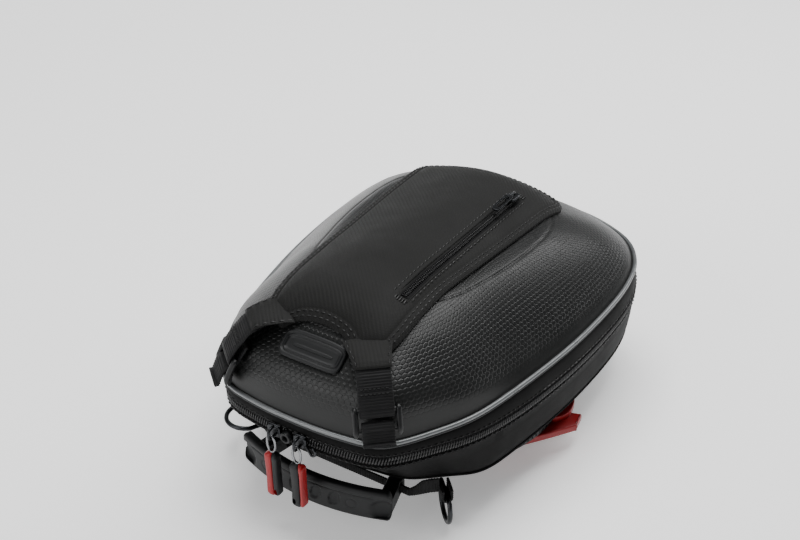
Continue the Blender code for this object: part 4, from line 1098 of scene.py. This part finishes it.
def pull_fob(word, hinge):
    """Moulded pull in two colours, side by side, with a cord hole at its foot."""
    top = hinge + Vector((0.0, 0.0, -2 * WIRE_LOOP[1] - 0.2))
    left = word == "left"
    share_right = -0.12 if left else -0.4
    split = -share_right * FOB_HALF
    work = Work()
    for way, finish in ((-1.0, 0), (1.0, 1)):
        loops = []
        for k in range(29):
            share = k / 28.0
            z = top.z - FOB_LENGTH * share
            nose = math.sqrt(max(0.0, 1.0 - (1.0 - min(share / 0.07, 1.0)) ** 2))
            tail = math.sqrt(max(0.0, 1.0 - (1.0 - min((1.0 - share) / 0.09, 1.0)) ** 2))
            body = max(min(nose, tail), 0.04)
            waist = 1.0 - 0.10 * math.sin(math.pi * share) ** 2
            drop = 0.6 * smoothstep(0.8, 1.0, share) * way
            loop = []
            for a in range(20):
                angle = 2.0 * math.pi * a / 20
                cos, sin = math.cos(angle), math.sin(angle)
                wide = FOB_HALF * waist * (1.0 + way * share_right)
                across = split + way * 0.5 * wide * (1.0 + math.copysign(abs(cos) ** 0.6, cos))
                thick = FOB_DEEP * math.copysign(abs(sin) ** 0.6, sin)
                groove = 0.35 * math.exp(-((abs(across) - 2.4) / 0.5) ** 2) * smoothstep(0.12, 0.2, share)
                groove *= 1.0 - smoothstep(0.78, 0.86, share)
                thick -= math.copysign(groove, thick)
                loop.append(Vector((top.x + across * max(body, 0.35), top.y + thick * body, z + drop)))
            loops.append(loop)
        work.skin(loops, finish=finish)
    pair = [RED_RUBBER, RUBBER] if left else [RUBBER, RED_RUBBER]
    obj = fit("pull_grip_" + word, work, pair, "pull_" + word, ["pull_fob_" + word], sharp=55.0)
    punch = Work()
    way = 1.0 if left else -1.0
    rows = []
    for y in (-6.0, 6.0):
        rows.append([Vector((top.x + way * 2.3 + 1.25 * math.cos(a), top.y + y,
                             top.z - FOB_LENGTH + 4.6 + 2.3 * math.sin(a)))
                     for a in (2.0 * math.pi * k / 24 for k in range(24))])
    punch.skin(rows)
    carve(obj, punch)


def carve(obj, work):
    """Cuts the work out of a piece, for good."""
    mesh = bpy.data.meshes.new("tool")
    mesh.from_pydata([tuple(point * MM) for point in work.points], [], work.faces)
    tool = bpy.data.objects.new("tool", mesh)
    bpy.context.collection.objects.link(tool)
    bpy.context.view_layer.objects.active = tool
    bpy.ops.object.mode_set(mode="EDIT")
    bpy.ops.mesh.select_all(action="SELECT")
    bpy.ops.mesh.normals_make_consistent(inside=False)
    bpy.ops.object.mode_set(mode="OBJECT")
    modifier = obj.modifiers.new("carve", "BOOLEAN")
    modifier.operation = "DIFFERENCE"
    modifier.object = tool
    modifier.use_self = True
    bpy.context.view_layer.objects.active = obj
    bpy.ops.object.modifier_apply(modifier=modifier.name)
    bpy.data.objects.remove(tool, do_unlink=True)


def padlock_eye():
    """Moulded eye between the sliders, with a rounded lip."""
    seat = slider_seat(-4.5)
    work = Work()
    loops = []
    sides = 32
    for radius, y in ((3.9, -0.4), (3.9, -3.6), (3.5, -4.3), (2.4, -4.5), (1.8, -4.0), (1.7, -0.4)):
        loops.append([Vector((seat.x + radius * math.cos(2 * math.pi * k / sides), seat.y + y,
                              seat.z - 0.5 + radius * math.sin(2 * math.pi * k / sides)))
                      for k in range(sides)])
    work.skin(loops, closed=True)
    fit("padlock_eye", work, NYLON, "tray", ["lock_eye"], sharp=50.0)


# ---- tray -----------------------------------------------------------------------
def smooth_levels(loops, steps):
    """More loops between the given ones, on smooth curves."""
    out = []
    for i in range(len(loops) - 1):
        before, after = loops[max(i - 1, 0)], loops[min(i + 2, len(loops) - 1)]
        for k in range(steps):
            t = k / steps
            row = []
            for p0, p1, p2, p3 in zip(before, loops[i], loops[i + 1], after):
                row.append(0.5 * (2.0 * p1 + t * (p2 - p0) + t * t * (2 * p0 - 5 * p1 + 4 * p2 - p3)
                                  + t ** 3 * (3 * p1 - p0 - 3 * p2 + p3)))
            out.append(row)
    out.append(loops[-1])
    return out


def tray_cloth():
    """Foam-backed tray: sewn edge under the zip, a seam low on the wall, lined inside."""
    def head(y):
        """Top edge of the tray's cloth, just under the zip."""
        return zip_z(y) - COIL_HEIGHT - GAP

    top = [rim(lambda y: zip_bulge(y) - 0.5, head),
           rim(lambda y: zip_bulge(y) + 0.35, lambda y: head(y) - 0.7),
           rim(lambda y: zip_bulge(y) + 0.3, lambda y: head(y) - 2.6),
           rim(lambda y: zip_bulge(y) - 0.3, lambda y: head(y) - 3.4)]
    walls = smooth_levels([tray_section(*row) for row in TRAY_LOOPS], 5)
    inner = [rim(lambda y: zip_bulge(y) - FABRIC_WALL, head)]
    for z, scale_x, front, rear in TRAY_LOOPS[:-1]:
        inner.append(tray_section(max(z, TRAY_FLOOR_Z + FABRIC_WALL), scale_x, front, rear, FABRIC_WALL))
    work = Work()
    work.skin(list(reversed(walls)) + list(reversed(top)) + inner)
    rows = len(walls) + len(top)
    for number in range(AROUND * rows, len(work.finishes)):
        work.finishes[number] = 1
    ups = [outward(OUTLINE, i).to_3d() for i in range(AROUND)]
    line = rim(lambda y: zip_bulge(y) + 0.35, lambda y: head(y) - 1.7)
    work.stitches(line, ups, closed=True, finish=2)
    low = tray_section(37.0, 0.988, 32.5, 3.5, -0.3)
    work.rod([p.lerp(q, 0.5) for p, q in zip(low, low[1:] + low[:1])], 1.0, 8, closed=True, finish=0)
    tray = fit("tray_cloth", work, [WALL, LINING, THREAD], "tray", ["lower_tray"])


def hinge_cloth():
    """Cloth hinge at the rear, sewn to the tray and bending up to the band."""
    work = Work()
    middle = AROUND // 2
    loops = []
    for i in range(middle - 16, middle + 17):
        normal = outward(OUTLINE, i)
        loop = []
        for push, z in ((3.3, 60.2), (4.3, 60.0), (4.6, 62.0), (4.6, 66.0), (4.2, 67.4), (3.3, 67.4)):
            spot = OUTLINE[i] + normal * push
            loop.append(Vector((spot.x, spot.y, z)))
        loops.append(loop)
    work.skin(loops)
    for z in (61.6, 66.0):
        stations = range(middle - 15, middle + 16)
        spots = [(OUTLINE[i] + outward(OUTLINE, i) * 4.6).to_3d() + UP * z for i in stations]
        work.stitches(spots, [outward(OUTLINE, i).to_3d() for i in stations], finish=1)
    fit("hinge_cloth", work, [WALL, THREAD], "tray", ["rear_hinge_strip"])


# ---- handle, webbing and rings --------------------------------------------------
HANDLE_Z = (18.5, 41.0)
HANDLE_THICK = 6.5
HANDLE_HALF = 57.0
HANDLE_FRONT_Y = -144.5
HANDLE_BOW = 11.5
HANDLE_HINGE = Vector((0.0, -108.0, 23.0))


def handle_line(x):
    """y of the grip's bowed front face."""
    return HANDLE_FRONT_Y + HANDLE_BOW * (x / HANDLE_HALF) ** 2


def grip_relief(x, z):
    """Depth cut into the grip's front: finger ovals, a round dimple and end scoops."""
    depth = 0.0
    for at in (-21.0, -8.0, 8.0, 21.0):
        lean = (z - 29.5) * 0.25
        size = ((x - at - lean) / 3.9) ** 2 + ((z - 29.5) / 6.0) ** 2
        depth = max(depth, 1.3 * (1.0 - smoothstep(0.72, 1.05, size)))
    for at in (-32.5, 32.5):
        size = math.hypot(x - at, z - 29.0)
        depth = max(depth, 0.55 * math.exp(-((size - 3.6) / 0.45) ** 2))
        scoop = math.hypot((x - math.copysign(52.5, at)) / 10.5, (z - 27.0) / 9.5)
        depth = max(depth, 2.6 * (1.0 - smoothstep(0.55, 1.0, scoop)))
    rail = math.exp(-((z - 36.2) / 0.5) ** 2) * (1.0 - smoothstep(44.0, 50.0, abs(x)))
    return max(depth, 0.5 * rail)


def grip():
    """Bowed rubber grip; a lug at each end turns on the webbing."""
    work = Work()
    low, high = HANDLE_Z
    corner = 2.4
    section = []
    face_rows = 30
    for k in range(face_rows + 1):
        section.append((0.0, low + corner + (high - low - 2 * corner) * k / face_rows, True))
    corners = ((corner, high - corner, 180), (HANDLE_THICK - corner, high - corner, 90),
               (HANDLE_THICK - corner, low + corner, 0), (corner, low + corner, -90))
    for centre_a, centre_z, first in corners:
        for k in range(1, 6):
            angle = math.radians(first - 18 * k)
            section.append((centre_a + corner * math.cos(angle), centre_z + corner * math.sin(angle), False))
    loops = []
    stations = 150
    for k in range(stations + 1):
        x = HANDLE_HALF * (2.0 * k / stations - 1.0)
        slope = 2 * HANDLE_BOW * x / HANDLE_HALF ** 2
        inward = Vector((-slope, 1.0, 0.0)).normalized()
        close = min(k, stations - k)
        shrink = (0.35, 0.72, 0.9, 0.97)[close] if close < 4 else 1.0
        loop = []
        for a, z, front in section:
            cut = grip_relief(x, z) if front else 0.0
            rise = 0.5 * (low + high) + (z - 0.5 * (low + high)) * shrink
            across = 0.5 * HANDLE_THICK + (a + cut - 0.5 * HANDLE_THICK) * shrink
            loop.append(Vector((x, handle_line(x), rise)) + inward * across)
        loops.append(loop)
    work.skin(loops)
    for side in (-1.0, 1.0):
        sides = 64
        outer, inner = [], []
        for k in range(sides):
            angle = 2.0 * math.pi * k / sides
            cos, sin = math.cos(angle), math.sin(angle)
            reach = []
            for half_y_pos, half_y_neg, half_z in ((5.5, 20.5, 5.6), (2.4, 2.4, 3.9)):
                run = half_y_pos if cos > 0 else half_y_neg
                reach.append(((abs(cos) / run) ** 5 + (abs(sin) / half_z) ** 5) ** -0.2)
            outer.append((reach[0] * cos, reach[0] * sin))
            inner.append((reach[1] * cos, reach[1] * sin))
        loops = []
        rows = ((outer, -0.8, -4.6), (outer, 0.0, -3.8), (outer, 0.0, 3.8), (outer, -0.8, 4.6),
                (inner, 0.6, 4.6), (inner, 0.0, 4.0), (inner, 0.0, -4.0), (inner, 0.6, -4.6))
        for line, grow, edge in rows:
            loop = []
            for y, z in line:
                size = math.hypot(y, z)
                y, z = y * (size + grow) / size, z * (size + grow) / size
                x = side * (42.8 + 0.27 * max(-y, 0.0)) + edge
                loop.append(Vector((x, HANDLE_HINGE.y + y, HANDLE_HINGE.z + z)))
            loops.append(loop)
        work.skin(loops, closed=True)
    fit("grip_moulding", work, RUBBER, "handle", ["handle"], sharp=50.0)


def front_webbing():
    """Webbing on edge that the grip's lugs turn on; its ends rise to the ring tabs."""
    work = Work()
    spots = [Vector((x, HANDLE_HINGE.y, HANDLE_HINGE.z)) for x in (-54.0, -30.0, 0.0, 30.0, 54.0)]
    for side in (-1.0, 1.0):
        bend = [Vector((side * x, y, z)) for x, y, z in ((57.5, -107.4, 25.4), (61.5, -105.6, 28.6),
                                                         (66.0, -103.0, 30.2), (70.5, -99.6, 30.4))]
        spots = bend[::-1] + spots if side < 0 else spots + bend
    ups = []
    for i, spot in enumerate(spots):
        run = spots[min(i + 1, len(spots) - 1)] - spots[max(i - 1, 0)]
        ups.append(run.cross(UP).normalized())
    halves = [3.0 + 2.4 * smoothstep(55.0, 62.0, abs(spot.x)) for spot in spots]
    work.ribbon(spots, [UP * half for half in halves], ups, WEBBING_THICK, depth=0.18)
    for x in (-53.0, -34.0, 34.0, 53.0):
        rows = [Vector((x, HANDLE_HINGE.y - 0.95, 20.6 + 0.6 * k)) for k in range(9)]
        work.stitches(rows, [Vector((0.0, -1.0, 0.0))] * 9, length=0.9, gap=0.5, finish=1)
    fit("front_webbing_strip", work, [WEB, THREAD], "tray", ["front_webbing"], sharp=60.0)


RING_AXES = {"left": Vector((0.69, -0.724, 0.0)), "right": Vector((0.695, -0.719, 0.0))}
RING_OUT = {"left": Vector((-0.724, -0.69, 0.0)), "right": Vector((0.0, 0.0, -1.0))}
RING_SPOT = {"left": Vector((-72.0, -98.0, 23.6)), "right": Vector((73.5, -97.0, 23.6))}
RING_STOCK_R = 1.6
RING_BAR = 11.5          # half of the straight bar
RING_BOW = 13.5          # half width of the round bow
RING_SHANK = 6.5         # straight part between bar and bow
TAB_WIDTH = 13.0
TAB_RISE = (6.0, 4.5, 3.0, 1.5)


def ring_and_tab(word):
    """Cast D-ring, and the folded webbing that its straight bar turns in."""
    axis, out, spot = RING_AXES[word], RING_OUT[word], RING_SPOT[word]
    path = [spot + axis * (-RING_BAR + 2 * RING_BAR * k / 8) for k in range(9)]
    for k in range(33):
        angle = math.pi * k / 32
        path.append(spot + axis * RING_BOW * math.cos(angle)
                    + out * (RING_SHANK + (RING_BOW + 1.0) * math.sin(angle)))
    work = Work()
    work.rod(path, RING_STOCK_R, 16, closed=True)
    fit("ring_casting_" + word, work, ZINC, "ring_" + word, ["d_ring_" + word], sharp=80.0)

    away = axis.cross(UP)
    reach = RING_STOCK_R + GAP + 0.9
    spots, ups = [], []
    for height in TAB_RISE:
        spots.append(spot - away * reach + UP * height)
        ups.append(-away)
    for k in range(13):
        angle = math.pi + math.pi * k / 12
        ups.append(away * math.cos(angle) + UP * math.sin(angle))
        spots.append(spot + ups[-1] * reach)
    for height in TAB_RISE[::-1]:
        spots.append(spot + away * reach + UP * height)
        ups.append(away)
    work = Work()
    work.ribbon(spots, [axis * (TAB_WIDTH / 2)] * len(spots), ups, 1.7, depth=0.16)
    fit("ring_tab_webbing_" + word, work, WEB, "tray", ["ring_tab_" + word], sharp=60.0)


# ---- release lever and lock base ------------------------------------------------
LEVER_TOP_Z = 20.5
LEVER_THICK = 5.5
LEVER_PIVOT = Vector((66.0, -34.0))


def release_lever():
    """Long moulded lever with a flat blade, a raised ribbed prong and a round boss."""
    px, py = LEVER_PIVOT
    eye = [(px + 9.0 * math.cos(math.radians(a)), py + 9.0 * math.sin(math.radians(a)))
           for a in range(150, 301, 30)]
    blade = eye + [(80.4, -36.0), (97.0, -16.0), (112.6, 5.6), (113.2, 7.4), (111.4, 18.2), (110.4, 18.9),
                   (101.6, 15.9), (100.4, 14.8), (94.0, -2.0), (84.0, -15.0), (74.0, -24.5)]
    work = Work()
    low = LEVER_TOP_Z - LEVER_THICK
    outline = rounded(blade, 120)
    work.slab(outline, low, LEVER_TOP_Z, 1.1, straight)
    prong = rounded([(97.0, 1.0), (101.5, 3.0), (105.2, 11.0), (104.8, 19.0), (102.5, 24.6), (100.4, 25.6),
                     (98.4, 22.0), (98.6, 12.0)], 64)
    work.slab(prong, LEVER_TOP_Z - 0.8, LEVER_TOP_Z + 4.6, 0.9,
              lambda x, y, z: Vector((x, y, z + 1.8 * smoothstep(8.0, 24.0, y))))
    for k in range(5):
        y = 10.0 + 2.4 * k
        top = LEVER_TOP_Z + 4.6 + 1.8 * smoothstep(8.0, 24.0, y)
        work.rod([Vector((x, y, top)) for x in (100.0, 101.2, 102.6, 103.8)], [0.2, 0.4, 0.4, 0.2], 8)
    loops = []
    for radius, z in ((8.0, -0.4), (8.0, 0.5), (7.4, 1.0), (4.6, 1.0), (4.2, 0.4), (4.2, -0.4)):
        loops.append([Vector((px + radius * math.cos(a), py + radius * math.sin(a), LEVER_TOP_Z + z * 0.35))
                      for a in (2.0 * math.pi * k / 40 for k in range(40))])
    work.skin(loops, closed=True)
    fit("lever_moulding", work, RED, "lever", ["release_lever"], sharp=45.0)


def lock_details():
    """Finishes on the hard parts of the lock base, and the ribs on its housing."""
    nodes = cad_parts
    for name, finish, edge in (("lock_base", NYLON, 0.8), ("plug_ring", NYLON, 0.8), ("lock_hub", NYLON, 0.8),
                               ("lock_tongue", NYLON, 0.5), ("base_board", LINING, 0.4),
                               ("clamp_plate", PLATE, 0.4), ("lever_pin", WIRE, 0.4),
                               ("tongue_spring", WIRE, 0.0)):
        node = nodes[name]
        node.data.materials.clear()
        node.data.materials.append(finish)
        if edge:
            bevel_edges(node, edge)
    for number in range(1, 5):
        node = nodes["base_screw_%d" % number]
        node.data.materials.clear()
        node.data.materials.append(WIRE)
        bevel_edges(node, 0.3)
    work = Work()
    for k in range(12):
        angle = math.radians(-20.0 + 2.3 * k)
        out = Vector((math.cos(angle), math.sin(angle), 0.0))
        path = [out * 98.0 + UP * z for z in (21.6, 22.2, 25.0, 27.8, 28.6)]
        work.rod(path, [0.3, 0.75, 0.75, 0.75, 0.3], 8)
    fit("housing_ribs", work, NYLON, "tray", sharp=60.0)


# ---- floor, light and camera ----------------------------------------------------
def studio():
    """Pale floor with a faint glow of its own, four soft lights and the camera."""
    mesh = bpy.data.meshes.new("studio_floor")
    size = 3.0
    corners = [(-size, -size), (size, -size), (size, size), (-size, size)]
    mesh.from_pydata([(x, y, -0.0005) for x, y in corners], [], [(0, 1, 2, 3)])
    floor = bpy.data.objects.new("studio_floor", mesh)
    bpy.context.collection.objects.link(floor)
    paper = bpy.data.materials.new("matt_backdrop_paper")
    paper.use_nodes = True
    shader = paper.node_tree.nodes["Principled BSDF"]
    shader.inputs["Base Color"].default_value = linear("#fcfcfc")
    shader.inputs["Roughness"].default_value = 0.9
    shader.inputs["Emission Color"].default_value = linear("#ffffff")
    shader.inputs["Emission Strength"].default_value = 0.3
    mesh.materials.append(paper)

    world = bpy.data.worlds.new("studio_air")
    world.use_nodes = True
    world.node_tree.nodes["Background"].inputs["Color"].default_value = linear("#f2f4f6")
    world.node_tree.nodes["Background"].inputs["Strength"].default_value = 0.2
    bpy.context.scene.world = world
    target = Vector((0.0, 0.0, 0.09))
    for name, place, size, power in (("top_softbox", (-0.1, 0.3, 1.5), (1.1, 1.1), 30.0),
                                     ("ridge_strip", (0.40, 0.98, 0.95), (0.22, 0.9), 7.0),
                                     ("left_strip", (-1.1, 0.75, 0.16), (0.9, 0.26), 2.5),
                                     ("front_fill", (-0.5, -1.3, 0.7), (0.9, 0.9), 9.0)):
        lamp = bpy.data.lights.new(name, "AREA")
        lamp.shape = "RECTANGLE"
        lamp.size, lamp.size_y = size
        lamp.energy = power
        obj = bpy.data.objects.new(name, lamp)
        bpy.context.collection.objects.link(obj)
        obj.location = place
        obj.rotation_euler = (target - Vector(place)).to_track_quat("-Z", "Y").to_euler()

    azimuth, elevation, distance = math.radians(31.5), math.radians(35.1), 0.9
    away = Vector((math.sin(azimuth) * math.cos(elevation), -math.cos(azimuth) * math.cos(elevation),
                   math.sin(elevation)))
    lens = bpy.data.cameras.new("camera")
    lens.lens = 60.5
    lens.shift_x = -0.03275
    lens.shift_y = 0.03225
    camera = bpy.data.objects.new("camera", lens)
    bpy.context.collection.objects.link(camera)
    camera.location = Vector((0.0, 0.0, SEAM_Z * MM)) + away * distance
    camera.rotation_euler = away.to_track_quat("Z", "Y").to_euler()
    bpy.context.scene.camera = camera


RED_RUBBER = red_moulding("red_two_shot_rubber", "red_plastic", "#8c0d11", "#a11217")

studio()
shell_moulding()
piping_bead()
band_and_zip()
rubber_patch()
window()
cover_cloth()
pocket_zip()
pocket_slider()
for number, word in ((-1, "left"), (1, "right")):
    panel_leg(number, word)
    strap(number, word)
    buckle(number, word)
    strap_stub(number, word)
for word, x in SLIDERS:
    main_slider(word, x)
padlock_eye()
tray_cloth()
hinge_cloth()
grip()
front_webbing()
for word in ("left", "right"):
    ring_and_tab(word)
release_lever()
lock_details()
